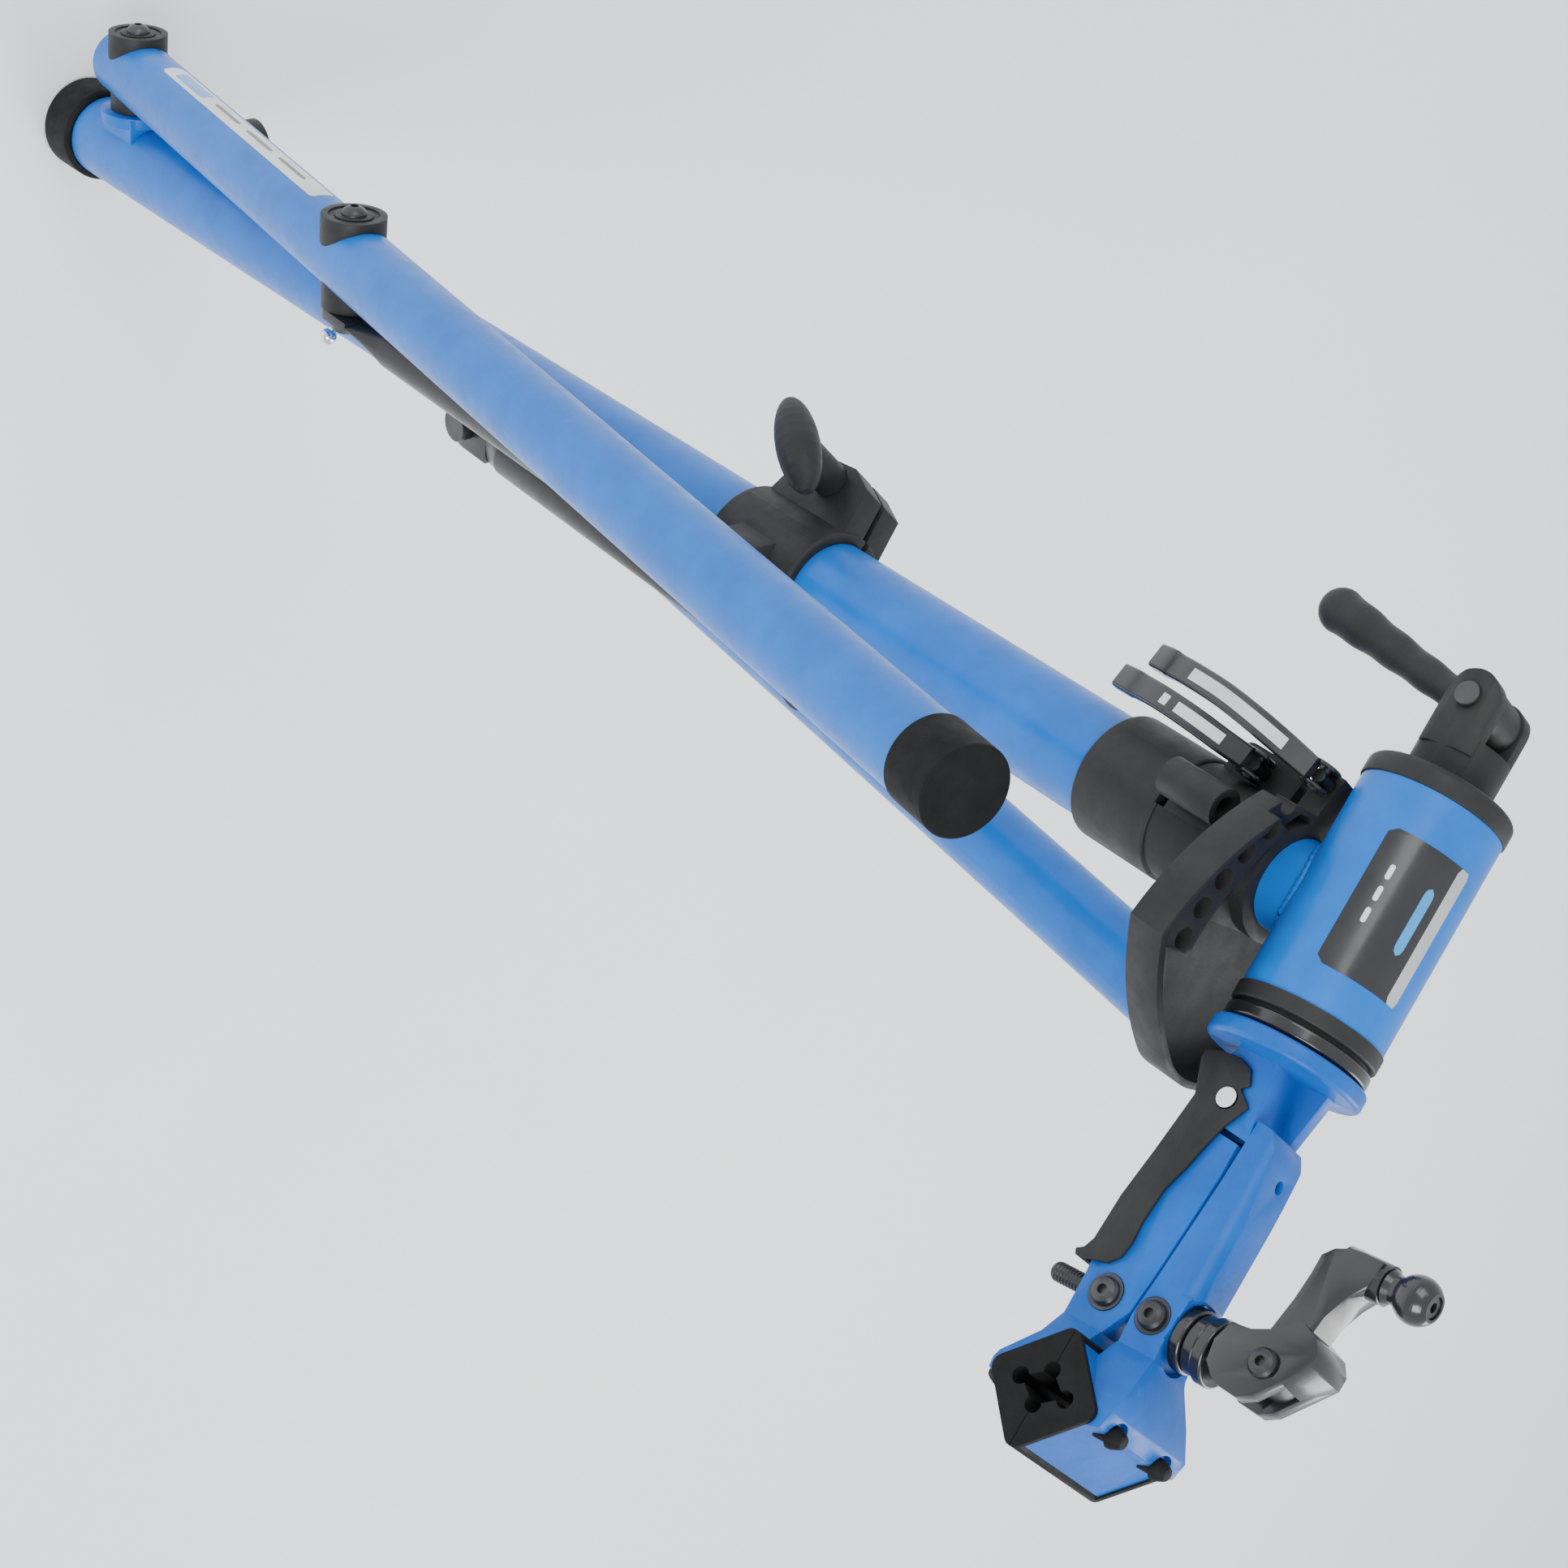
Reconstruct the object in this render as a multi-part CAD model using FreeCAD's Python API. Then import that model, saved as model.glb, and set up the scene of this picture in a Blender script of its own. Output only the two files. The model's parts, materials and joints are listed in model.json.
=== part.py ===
import FreeCAD, Part
import math
import os

# Folding bicycle repair stand, millimetres.
# +Z runs up the mast from the foot, the clamp end of the head faces -Y (front), and leg 1 is
# on the -X side. Rest pose: legs folded up along the mast, inner mast pushed all the way down.
# Points are given as (side, front, up): side is towards leg 1, front is towards the clamp.

# --- mast ---
MAST_R = 22.5
MAST_WALL = 2.0
MAST_TOP = 914.0
INNER_R = 19.05
INNER_WALL = 1.6
INNER_BOTTOM = 420.0
GLIDE_LENGTH = 25.0
FOOT_R = 26.0
FOOT_RIM = 28.0
FOOT_FLOOR = 4.0

# --- legs: one folding plane each side, turned LEG_SPREAD out from the front ---
LEG_SPREAD = 46.0
LEG_FOLD = 8.3
LEG_OUT = 49.0
LEG_FORWARD = 4.0
LEG_PIVOT_UP = 70.0
LEG_R = 18.0
LEG_WALL = 1.8
LEG_ROOT = 22.0
LEG_LENGTH = 866.0
LEG_MID = 303.0
CAP_LENGTH = 26.5
CAP_R = 19.0
BOLT_R = 4.0
BOLT_HEAD_R = 6.2
RUNNING = 0.1
GAP = 0.3
SADDLE_R = 16.0
SADDLE_RISE = 4.4
SPACER_R = 14.5
EAR_IN = 22.6
EAR_OUT = 28.4
EAR_R = 20.0

# --- struts and sliding collar ---
STRUT_OUT = 22.5
STRUT_TUBE_OUT = 18.5
STRUT_R = 9.5
STRUT_WALL = 1.5
TAB_HALF = 2.5
TAB_WIDE = 14.0
TAB_LENGTH = 20.0
TAB_LENGTH_TOP = 46.0
TAB_BLEND = 24.0
COLLAR_UP = 661.5
COLLAR_HALF = 29.0
COLLAR_R = 27.0
COLLAR_LINK_FORWARD = 60.0
LINK_LUG_R = 12.0
LINK_LUG_IN = 8.0
KNOB_FRONT = -39.5
KNOB_UP = 663.0
KNOB_SIDE = 43.0
STOP_UP = 302.0

# --- mast clamp sleeve and its quick-release lever ---
SLEEVE_BOTTOM = 877.0
SLEEVE_STEP = 919.0
SLEEVE_TOP = 961.0
SLEEVE_R = 26.6
SLEEVE_UPPER_R = 25.4
MAST_LEVER = (18.0, -28.0, 939.0)
BOSS_SIDE = 33.0
BOSS_FRONT = -5.5
BOSS_R = 8.0
BOSS_BORE = 4.7
BOSS_BOTTOM = 922.0
BOSS_TOP = 951.0

# --- tool tray, turned round the mast; "aside" and "ahead" are measured in the tray's own frame ---
TRAY_TURN = 11.5
TRAY_BOTTOM = 962.0
TRAY_TOP = 979.0
TRAY_FLOOR = 3.5
TRAY_WALL = 3.0
TRAY_CORNER = (62.5, 37.0)
TRAY_SIDE = (45.5, -9.0)
TRAY_REAR = (31.0, -26.8)
TRAY_CHEEK = (42.5, 61.5)
TRAY_NOSE = (0.0, 85.5)
TRAY_LEDGE = 976.0
TRAY_HOLE_R = 4.4
TRAY_HOLE_START = (46.0, 35.0)
TRAY_HOLE_CENTRE = (-52.0, 31.0)
TRAY_LEVER = (21.0, -36.5, 968.0)

# --- head barrel, tilted up at the front; "along" is measured forward from its middle ---
HEAD_UP = 1010.0
HEAD_TILT = 9.2
BARREL_R = 29.0
BARREL_BORE = 25.4
BARREL_REAR = -51.5
BARREL_FRONT = 39.0
SHAFT_R = 12.0
REAR_CAP = 9.5
YOKE_R = 17.5
YOKE_PIN = -93.0
HANDLE_LEAN = 15.6
HANDLE_REACH = 83.0
FORK_R = 11.5

# --- clamp: jaws open along "rise", the direction square to the barrel and to the jaw length ---
FLANGE_START = 53.5
FLANGE_END = 61.0
FLANGE_R = 31.5
PIVOT = (80.5, -5.5)
SCREW_ALONG = 162.5
FIXED_TRUNNION = 12.0
MOVING_TRUNNION = -10.0
ARM_HALF = 12.4
CHEEK_HALF = 12.8
COVER_HALF = 14.9
COVER_WALL = 1.8
JAW_ALONG = 204.5
JAW_HALF_DIAGONAL = 24.0
JAW_PLATE = 3.5
JAW_HALF_LENGTH = 30.0
PAD_FLANGE = 2.5
PAD_DIAGONAL = 25.2
PAD_CORNER = 4.5
NUB_ALONG = 207.0
NUB_SIDE = 18.0
SPINDLE_R = 4.0
NUT_SLACK = 0.6
LEVER_HUB_R = 6.0
SKEWER_R = 2.9
SKEWER_SLOT = 3.3
CAM_PIN_R = 1.6
SPINDLE_END = -41.5
CRANK_BOLT = (159.5, 60.0)
KNOB_ALONG = 114.5
KNOB_BASE = 81.0
BALL_RISE = 92.5
BALL_R = 9.1

X_AXIS = FreeCAD.Vector(1, 0, 0)
Z_AXIS = FreeCAD.Vector(0, 0, 1)
ORIGIN = FreeCAD.Vector(0, 0, 0)


def at(side, front, up):
    return FreeCAD.Vector(-side, -front, up)


def rod(radius, start, end):
    """Solid cylinder between two points."""
    span = end - start
    return Part.makeCylinder(radius, span.Length, start, span)


def tube(outer, inner, start, end):
    return rod(outer, start, end).cut(rod(inner, start, end))


def block(side, front, up):
    """Box from (low, high) pairs in side, front and up."""
    corner = FreeCAD.Vector(-side[1], -front[1], up[0])
    return Part.makeBox(side[1] - side[0], front[1] - front[0], up[1] - up[0], corner)


def extrude(points, sweep):
    """Straight-sided solid from a closed ring of points."""
    ring = Part.makePolygon(points + [points[0]])
    return Part.Face(ring).extrude(sweep)


def fuse(shapes):
    whole = shapes[0].fuse(shapes[1:])
    return whole.removeSplitter()


def spin(profile, start, direction):
    """Body of revolution from (distance, radius) pairs along a direction."""
    axis = FreeCAD.Vector(direction)
    axis.normalize()
    across = axis.cross(Z_AXIS)
    if across.Length < 0.1:
        across = axis.cross(X_AXIS)
    across.normalize()
    points = [start + axis * profile[0][0]]
    points += [start + axis * d + across * r for d, r in profile]
    points += [start + axis * profile[-1][0]]
    face = Part.Face(Part.makePolygon(points + [points[0]]))
    return face.revolve(start, axis, 360)


def round_edges(shape, radius, keep):
    """Fillet the edges that the keep test picks."""
    edges = [e for e in shape.Edges if keep(e)]
    return shape.makeFillet(radius, edges)


def circle_at(level, radius, axis_index):
    """Test for a full circle of one radius at one coordinate along x, y or z."""
    def keep(edge):
        if not isinstance(edge.Curve, Part.Circle):
            return False
        centre = edge.Curve.Center
        return abs(centre[axis_index] - level) < 0.01 and abs(edge.Curve.Radius - radius) < 0.01
    return keep


def save(name, shape):
    os.makedirs("parts", exist_ok=True)
    shape.exportStep("parts/" + name + ".step")


# ---------------------------------------------------------------- mast

def outer_mast():
    body = tube(MAST_R, MAST_R - MAST_WALL, at(0, 0, FOOT_FLOOR), at(0, 0, MAST_TOP))
    return body.cut(rod(3.0, at(0, 0, STOP_UP), at(0, MAST_R + 5, STOP_UP)))


def foot_cap():
    body = rod(FOOT_R, ORIGIN, at(0, 0, FOOT_RIM))
    body = body.makeFillet(3.0, [body.Edges[0], body.Edges[2]])
    return body.cut(rod(MAST_R, at(0, 0, FOOT_FLOOR), at(0, 0, FOOT_RIM + 1)))


def collar_stop_pin():
    shank = rod(3.0, at(0, MAST_R - 8, STOP_UP), at(0, MAST_R + 1.5, STOP_UP))
    ball = Part.makeSphere(4.3, at(0, MAST_R + 4.0, STOP_UP))
    return shank.fuse(ball)


def inner_mast():
    body = tube(INNER_R, INNER_R - INNER_WALL, at(0, 0, INNER_BOTTOM), at(0, 0, HEAD_UP))
    return body.cut(on_head(rod(BARREL_R, at(0, -70, HEAD_UP), at(0, 70, HEAD_UP))))


def mast_glide():
    return tube(MAST_R - MAST_WALL - RUNNING, INNER_R, at(0, 0, INNER_BOTTOM),
                at(0, 0, INNER_BOTTOM + GLIDE_LENGTH))


# ---------------------------------------------------------------- legs and struts

def on_leg_side(shape, hand):
    """Turn a shape from the straight-ahead plane to its leg's folding plane."""
    placed = shape.copy()
    placed.rotate(ORIGIN, Z_AXIS, -LEG_SPREAD)
    if hand < 0:
        placed = placed.mirror(ORIGIN, X_AXIS)
    return placed


def leg_pivot(out=LEG_OUT):
    return at(out, LEG_FORWARD, LEG_PIVOT_UP)


def along_leg(out, distance):
    """Point on the upright leg before it is tipped to its folded angle."""
    return at(out, LEG_FORWARD, LEG_PIVOT_UP + distance)


def tip_leg(shape):
    tipped = shape.copy()
    tipped.rotate(leg_pivot(), X_AXIS, LEG_FOLD)
    return tipped


def leg_tube(hand):
    low = along_leg(LEG_OUT, -LEG_ROOT)
    high = along_leg(LEG_OUT, LEG_LENGTH - 3)
    body = tube(LEG_R, LEG_R - LEG_WALL, low, high)
    plug = rod(LEG_R - LEG_WALL, low, along_leg(LEG_OUT, 3 - LEG_ROOT))
    body = body.fuse(plug).removeSplitter()
    for distance in (0.0, LEG_MID):
        hole = rod(BOLT_R + RUNNING, along_leg(0, distance), along_leg(2 * LEG_OUT, distance))
        body = body.cut(hole)
    return on_leg_side(tip_leg(body), hand)


def leg_end_cap(hand):
    end = along_leg(LEG_OUT, LEG_LENGTH)
    cup = rod(CAP_R, along_leg(LEG_OUT, LEG_LENGTH - CAP_LENGTH), end)
    cup = cup.makeFillet(1.2, [cup.Edges[0], cup.Edges[2]])
    pocket = rod(LEG_R, along_leg(LEG_OUT, LEG_LENGTH - CAP_LENGTH - 1),
                 along_leg(LEG_OUT, LEG_LENGTH - 3))
    return on_leg_side(tip_leg(cup.cut(pocket)), hand)


def leg_saddles(hand):
    """Two moulded washers that seat the bolt heads on the round tube."""
    saddles = []
    for distance in (0.0, LEG_MID):
        top = LEG_OUT + LEG_R + SADDLE_RISE
        pad = rod(SADDLE_R, along_leg(LEG_OUT + 6, distance), along_leg(top, distance))
        dish = rod(12.5, along_leg(top - 0.8, distance), along_leg(top + 1, distance))
        seat = rod(9.5, along_leg(top - 0.8, distance), along_leg(top, distance))
        bore = rod(BOLT_R + RUNNING, along_leg(LEG_OUT, distance), along_leg(top + 1, distance))
        shell = rod(LEG_R, along_leg(LEG_OUT, distance - 40), along_leg(LEG_OUT, distance + 40))
        saddles.append(pad.cut(dish).fuse(seat).cut(bore).cut(shell))
    return on_leg_side(tip_leg(Part.makeCompound(saddles)), hand)


def leg_spacers(hand):
    """Inner spacers: one runs against the ear, the other against the strut tab."""
    spacers = []
    for distance, inner in ((0.0, EAR_OUT + GAP), (LEG_MID, STRUT_OUT + TAB_HALF + GAP)):
        pad = rod(SPACER_R, along_leg(inner, distance), along_leg(LEG_OUT - 6, distance))
        bore = rod(BOLT_R + RUNNING, along_leg(0, distance), along_leg(LEG_OUT, distance))
        shell = rod(LEG_R, along_leg(LEG_OUT, distance - 40), along_leg(LEG_OUT, distance + 40))
        spacers.append(pad.cut(bore).cut(shell))
    return on_leg_side(tip_leg(Part.makeCompound(spacers)), hand)


def dome_bolt(low, high, head_height):
    """Domed socket bolt along the line from low to high, head beyond high."""
    axis = high - low
    axis.normalize()
    steps = 8
    dome = [(head_height * math.sin(math.pi / 2 * i / steps),
             BOLT_HEAD_R * math.cos(math.pi / 2 * i / steps)) for i in range(steps)]
    head = spin(dome, high, axis)
    socket = rod(2.0, high + axis * (head_height * 0.45), high + axis * (head_height + 1))
    return rod(BOLT_R, low, high).fuse(head).cut(socket)


def leg_root_bolt(hand):
    top = LEG_OUT + LEG_R + SADDLE_RISE + 0.2
    bolt = dome_bolt(along_leg(MAST_R + 0.5, 0), along_leg(top, 0), 4.5)
    return on_leg_side(tip_leg(bolt), hand)


def leg_mid_bolt(hand):
    top = LEG_OUT + LEG_R + SADDLE_RISE
    inner = STRUT_OUT - TAB_HALF - GAP
    bolt = dome_bolt(along_leg(inner, LEG_MID), along_leg(top, LEG_MID), 4.5)
    nut = rod(8.5, along_leg(inner - 6, LEG_MID), along_leg(inner, LEG_MID))
    return on_leg_side(tip_leg(bolt.fuse(nut)), hand)


def leg_ear(hand):
    """Lug welded to the mast on a saddle block; the leg's root bolt screws into it."""
    plate = rod(EAR_R, leg_pivot(EAR_IN), leg_pivot(EAR_OUT))
    saddle = block((10, EAR_OUT - 1), (LEG_FORWARD - 13, LEG_FORWARD + 13),
                   (LEG_PIVOT_UP - 17, LEG_PIVOT_UP + 17))
    body = plate.fuse(saddle).removeSplitter()
    body = body.cut(rod(MAST_R, ORIGIN, at(0, 0, 2 * LEG_PIVOT_UP)))
    body = body.cut(rod(BOLT_R, leg_pivot(0), leg_pivot(EAR_OUT)))
    return on_leg_side(body, hand)


def strut_ends():
    """Strut's ends in the upright plane: pivot on the leg, and pivot at the collar."""
    angle = math.radians(LEG_FOLD)
    low = at(STRUT_OUT, LEG_FORWARD + LEG_MID * math.sin(angle),
             LEG_PIVOT_UP + LEG_MID * math.cos(angle))
    return low, at(STRUT_OUT, COLLAR_LINK_FORWARD, COLLAR_UP)


def strut(hand):
    """Round tube, flattened off-centre into rounded tabs at both ends."""
    low, high = strut_ends()
    length = (high - low).Length
    pieces = []
    for base, way, flat in ((0.0, 1.0, TAB_LENGTH), (length, -1.0, TAB_LENGTH_TOP)):
        flat_end = base + way * flat
        round_end = flat_end + way * TAB_BLEND
        side = (STRUT_OUT - TAB_HALF, STRUT_OUT + TAB_HALF)
        up = (min(base, flat_end), max(base, flat_end))
        pieces.append(block(side, (-TAB_WIDE, TAB_WIDE), up))
        pieces.append(rod(TAB_WIDE, at(side[0], 0, base), at(side[1], 0, base)))
        ring = Part.Wire(Part.makeCircle(STRUT_R, at(STRUT_TUBE_OUT, 0, round_end), Z_AXIS))
        pieces.append(Part.makeLoft([tab_ring(flat_end), ring], True))
    low_end = at(STRUT_TUBE_OUT, 0, TAB_LENGTH + TAB_BLEND)
    high_end = at(STRUT_TUBE_OUT, 0, length - TAB_LENGTH_TOP - TAB_BLEND)
    pieces.append(rod(STRUT_R, low_end, high_end))
    body = fuse(pieces)
    body = body.cut(rod(STRUT_R - STRUT_WALL, low_end, high_end))
    body = body.cut(rod(BOLT_R + RUNNING, at(0, 0, 0), at(2 * STRUT_OUT, 0, 0)))
    body = body.cut(rod(BOLT_R, at(0, 0, length), at(2 * STRUT_OUT, 0, length)))
    body.translate(at(0, 0, low.z) + FreeCAD.Vector(0, low.y, 0))
    lean = math.degrees(math.atan2(low.y - high.y, high.z - low.z))
    body.rotate(low, X_AXIS, lean)
    return on_leg_side(body, hand)


def tab_ring(up):
    """Flattened tube section: an ellipse as wide as the tab."""
    flat = Part.Ellipse(at(STRUT_OUT, TAB_WIDE, up), at(STRUT_OUT + TAB_HALF, 0, up),
                        at(STRUT_OUT, 0, up))
    return Part.Wire(flat.toShape())


def strut_link_bolt(hand):
    """Bolt on the strut's upper end; it faces the collar's lug across a running gap."""
    low, high = strut_ends()
    inner = at(STRUT_OUT - TAB_HALF, -high.y, high.z)
    outer = at(STRUT_OUT + TAB_HALF, -high.y, high.z)
    return on_leg_side(dome_bolt(inner, outer, 4.0), hand)


# ---------------------------------------------------------------- sliding collar

def link_lug(hand):
    """Fin on the collar beside the strut's upper end."""
    side = (LINK_LUG_IN, STRUT_OUT - TAB_HALF - GAP)
    fin = block(side, (5, COLLAR_LINK_FORWARD), (COLLAR_UP - LINK_LUG_R, COLLAR_UP + LINK_LUG_R))
    tip = rod(LINK_LUG_R, at(side[0], COLLAR_LINK_FORWARD, COLLAR_UP),
              at(side[1], COLLAR_LINK_FORWARD, COLLAR_UP))
    return on_leg_side(fin.fuse(tip), hand)


def sliding_collar():
    low = COLLAR_UP - COLLAR_HALF
    high = COLLAR_UP + COLLAR_HALF
    ring = rod(COLLAR_R, at(0, 0, low), at(0, 0, high))
    ring = ring.makeFillet(2.0, [ring.Edges[0], ring.Edges[2]])
    rib = block((-9, 9), (20, 35), (low + 4, high - 4))
    lugs = extrude([at(-14, -20, low + 3), at(-14, -36, low + 6), at(-14, -48, low + 18),
                    at(-14, -49.5, low + 38), at(-14, -44, high - 7), at(-14, -20, high - 1)],
                   at(28, 0, 0))
    body = fuse([ring, rib, lugs, link_lug(1), link_lug(-1)])
    body = body.cut(rod(MAST_R + RUNNING, at(0, 0, low - 1), at(0, 0, high + 1)))
    body = body.cut(block((-5.2, 5.2), (10, 32), (low - 1, high + 1)))
    body = body.cut(block((-1.5, 1.5), (-60, -15), (low - 1, high + 1)))
    screw_line = (at(-40, KNOB_FRONT, KNOB_UP), at(40, KNOB_FRONT, KNOB_UP))
    body = body.cut(rod(3.1, *screw_line))
    return body.cut(rod(6.4, screw_line[0], at(-10, KNOB_FRONT, KNOB_UP)))


def collar_nut():
    nut = rod(6.2, at(-13.8, KNOB_FRONT, KNOB_UP), at(-10.2, KNOB_FRONT, KNOB_UP))
    return nut.cut(rod(3.1, at(-20, KNOB_FRONT, KNOB_UP), at(0, KNOB_FRONT, KNOB_UP)))


def collar_screw():
    return rod(3.0, at(-17, KNOB_FRONT, KNOB_UP), at(KNOB_SIDE - 4, KNOB_FRONT, KNOB_UP))


def collar_knob():
    """Long oval grip set across the end of its stem."""
    steps = 16
    half = [(-27 * math.cos(math.pi * i / steps), 9.8 * math.sin(math.pi * i / steps))
            for i in range(1, steps)]
    centre = at(KNOB_SIDE, KNOB_FRONT, KNOB_UP)
    lean = math.radians(35)
    grip = spin(half, centre, at(0, math.sin(lean), math.cos(lean)))
    stem = rod(8.0, at(14.4, KNOB_FRONT, KNOB_UP), centre)
    return grip.fuse(stem).cut(rod(3.0, at(0, KNOB_FRONT, KNOB_UP),
                                   at(KNOB_SIDE - 4, KNOB_FRONT, KNOB_UP)))


# ---------------------------------------------------------------- mast clamp sleeve

def mast_sleeve():
    lower = rod(SLEEVE_R, at(0, 0, SLEEVE_BOTTOM), at(0, 0, SLEEVE_STEP))
    lower = lower.makeFillet(1.5, [lower.Edges[0], lower.Edges[2]])
    upper = rod(SLEEVE_UPPER_R, at(0, 0, SLEEVE_STEP - 3), at(0, 0, SLEEVE_TOP))
    lugs = block((-11, 11), (-37, -15), (922, 956))
    lugs = round_edges(lugs, 6.0, lambda e: abs(e.Vertexes[0].Y - 37) < 0.01
                       and abs(e.Vertexes[-1].Y - 37) < 0.01 and abs(e.Vertexes[0].X
                                                                     - e.Vertexes[-1].X) > 1)
    boss = rod(BOSS_R, at(BOSS_SIDE, BOSS_FRONT, BOSS_BOTTOM), at(BOSS_SIDE, BOSS_FRONT, BOSS_TOP))
    web = block((18, BOSS_SIDE), (BOSS_FRONT - 4, BOSS_FRONT + 4), (BOSS_BOTTOM + 2, BOSS_TOP - 2))
    body = fuse([lower, upper, lugs, boss, web])
    body = body.cut(rod(MAST_R + 0.02, at(0, 0, SLEEVE_BOTTOM - 1), at(0, 0, MAST_TOP)))
    body = body.cut(rod(INNER_R + RUNNING, at(0, 0, MAST_TOP - 1), at(0, 0, SLEEVE_TOP + 1)))
    body = body.cut(block((-1.2, 1.2), (-45, -10), (SLEEVE_STEP + 3, SLEEVE_TOP + 1)))
    body = body.cut(block((14, 40), (-14, 5), (SLEEVE_STEP - 1, SLEEVE_STEP + 3)))
    side, front, up = MAST_LEVER
    body = body.cut(rod(3.1, at(-30, front, up), at(30, front, up)))
    return body.cut(rod(BOSS_BORE, at(BOSS_SIDE, BOSS_FRONT, BOSS_BOTTOM - 1),
                        at(BOSS_SIDE, BOSS_FRONT, BOSS_TOP + 1)))


def quick_release_skewer(pivot, nut_side, lean):
    """Rod from the lever's cam through the split lugs, with its round nut."""
    side, front, up = pivot
    shank = rod(SKEWER_R, at(nut_side - 1, front, up), at(side + 2.0, front, up))
    eye = rod(CAM_PIN_R + RUNNING, at(side, front - 5, up), at(side, front + 5, up))
    eye.rotate(at(side, front, up), X_AXIS, lean)
    shank = shank.cut(eye)
    nut = rod(6.5, at(nut_side - 6, front, up), at(nut_side, front, up))
    return shank.fuse(nut)


def skewer_slot(pivot, swing):
    """Room in a lever's hub for the skewer while the lever opens by the swing angle."""
    side, front, up = pivot
    low = front - SKEWER_SLOT
    reach = 2 * LEVER_HUB_R
    angle = math.radians(180 - swing)
    out = (math.cos(angle), math.sin(angle))
    corner = (side + SKEWER_SLOT * out[1], up - SKEWER_SLOT * out[0])
    ring = [(side - reach, up - SKEWER_SLOT), (side, up - SKEWER_SLOT), corner,
            (corner[0] + reach * out[0], corner[1] + reach * out[1]), (side - reach, up + reach)]
    wedge = extrude([at(s, low, z) for s, z in ring], at(0, 2 * SKEWER_SLOT, 0))
    round_end = rod(SKEWER_SLOT + 0.6, at(side, low, up), at(side, low + 2 * SKEWER_SLOT, up))
    return wedge.fuse(round_end)


def quick_release_lever(pivot, length, reach, tip_drop, width, lean, swing):
    """Cam hub on a cross axis, with a bowed blade that hangs down the mast."""
    side, front, up = pivot
    hub_r = LEVER_HUB_R
    hub = rod(hub_r, at(side, front - width / 2, up), at(side, front + width / 2, up))
    tip_out = side + reach - tip_drop
    outer = Part.Arc(at(side + hub_r - 1, front, up + 3), at(side + reach, front, up - length * 0.5),
                     at(tip_out, front, up - length)).toShape()
    tip = Part.LineSegment(at(tip_out, front, up - length),
                           at(tip_out - 4.5, front, up - length + 2)).toShape()
    inner = Part.Arc(at(tip_out - 4.5, front, up - length + 2),
                     at(side + reach - 5.5, front, up - length * 0.52),
                     at(side, front, up - hub_r + 1)).toShape()
    close = Part.LineSegment(at(side, front, up - hub_r + 1),
                             at(side + hub_r - 1, front, up + 3)).toShape()
    blade = Part.Face(Part.Wire([outer, tip, inner, close]))
    blade.translate(at(0, -width / 2, 0))
    blade = blade.extrude(at(0, width, 0))
    body = fuse([hub, blade])
    body = body.cut(skewer_slot(pivot, swing))
    bore = rod(CAM_PIN_R, at(side, front - width, up), at(side, front + width, up))
    body = body.cut(bore)
    body.rotate(at(side, front, up), X_AXIS, lean)
    return body


def cam_pin(pivot, width, lean):
    side, front, up = pivot
    half = width / 2 + 0.6
    pin = rod(CAM_PIN_R, at(side, front - half, up), at(side, front + half, up))
    pin.rotate(at(side, front, up), X_AXIS, lean)
    return pin


# ---------------------------------------------------------------- tool tray

def tray_outline(inset):
    """Tray plan: bowed sides from the rear to two corners, then cheeks that meet at the nose."""
    def arc(first, middle, last):
        return Part.Arc(*[at(s, f, 0) for s, f in (first, middle, last)]).toShape()

    def shrink(point):
        side, front = point
        size = math.hypot(side, front)
        return (side * (size - inset) / size, front * (size - inset) / size)

    def flip(point):
        return (-point[0], point[1])

    corner, side, rear = [shrink(p) for p in (TRAY_CORNER, TRAY_SIDE, TRAY_REAR)]
    cheek, nose = shrink(TRAY_CHEEK), shrink(TRAY_NOSE)
    tip = (14.0, nose[1] - 3.0)
    back = Part.LineSegment(at(*flip(rear), 0), at(*rear, 0)).toShape()
    return Part.Wire([arc(rear, side, corner), arc(corner, cheek, tip), arc(tip, nose, flip(tip)),
                      arc(flip(tip), flip(cheek), flip(corner)),
                      arc(flip(corner), flip(side), flip(rear)), back])


def tray_plate(inset, low, high):
    face = Part.Face(tray_outline(inset))
    face.translate(at(0, 0, low))
    return face.extrude(at(0, 0, high - low))


def tray_hole_points():
    """Tool holes, evenly spaced along an arc inside each bowed side."""
    centre_side, centre_front = TRAY_HOLE_CENTRE
    radius = TRAY_HOLE_START[0] - centre_side
    points = []
    for i in range(6):
        turn = math.radians(2.5 - 7.6 * i)
        side = centre_side + radius * math.cos(turn)
        front = centre_front + radius * math.sin(turn)
        points += [(side, front), (-side, front)]
    return points


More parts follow.
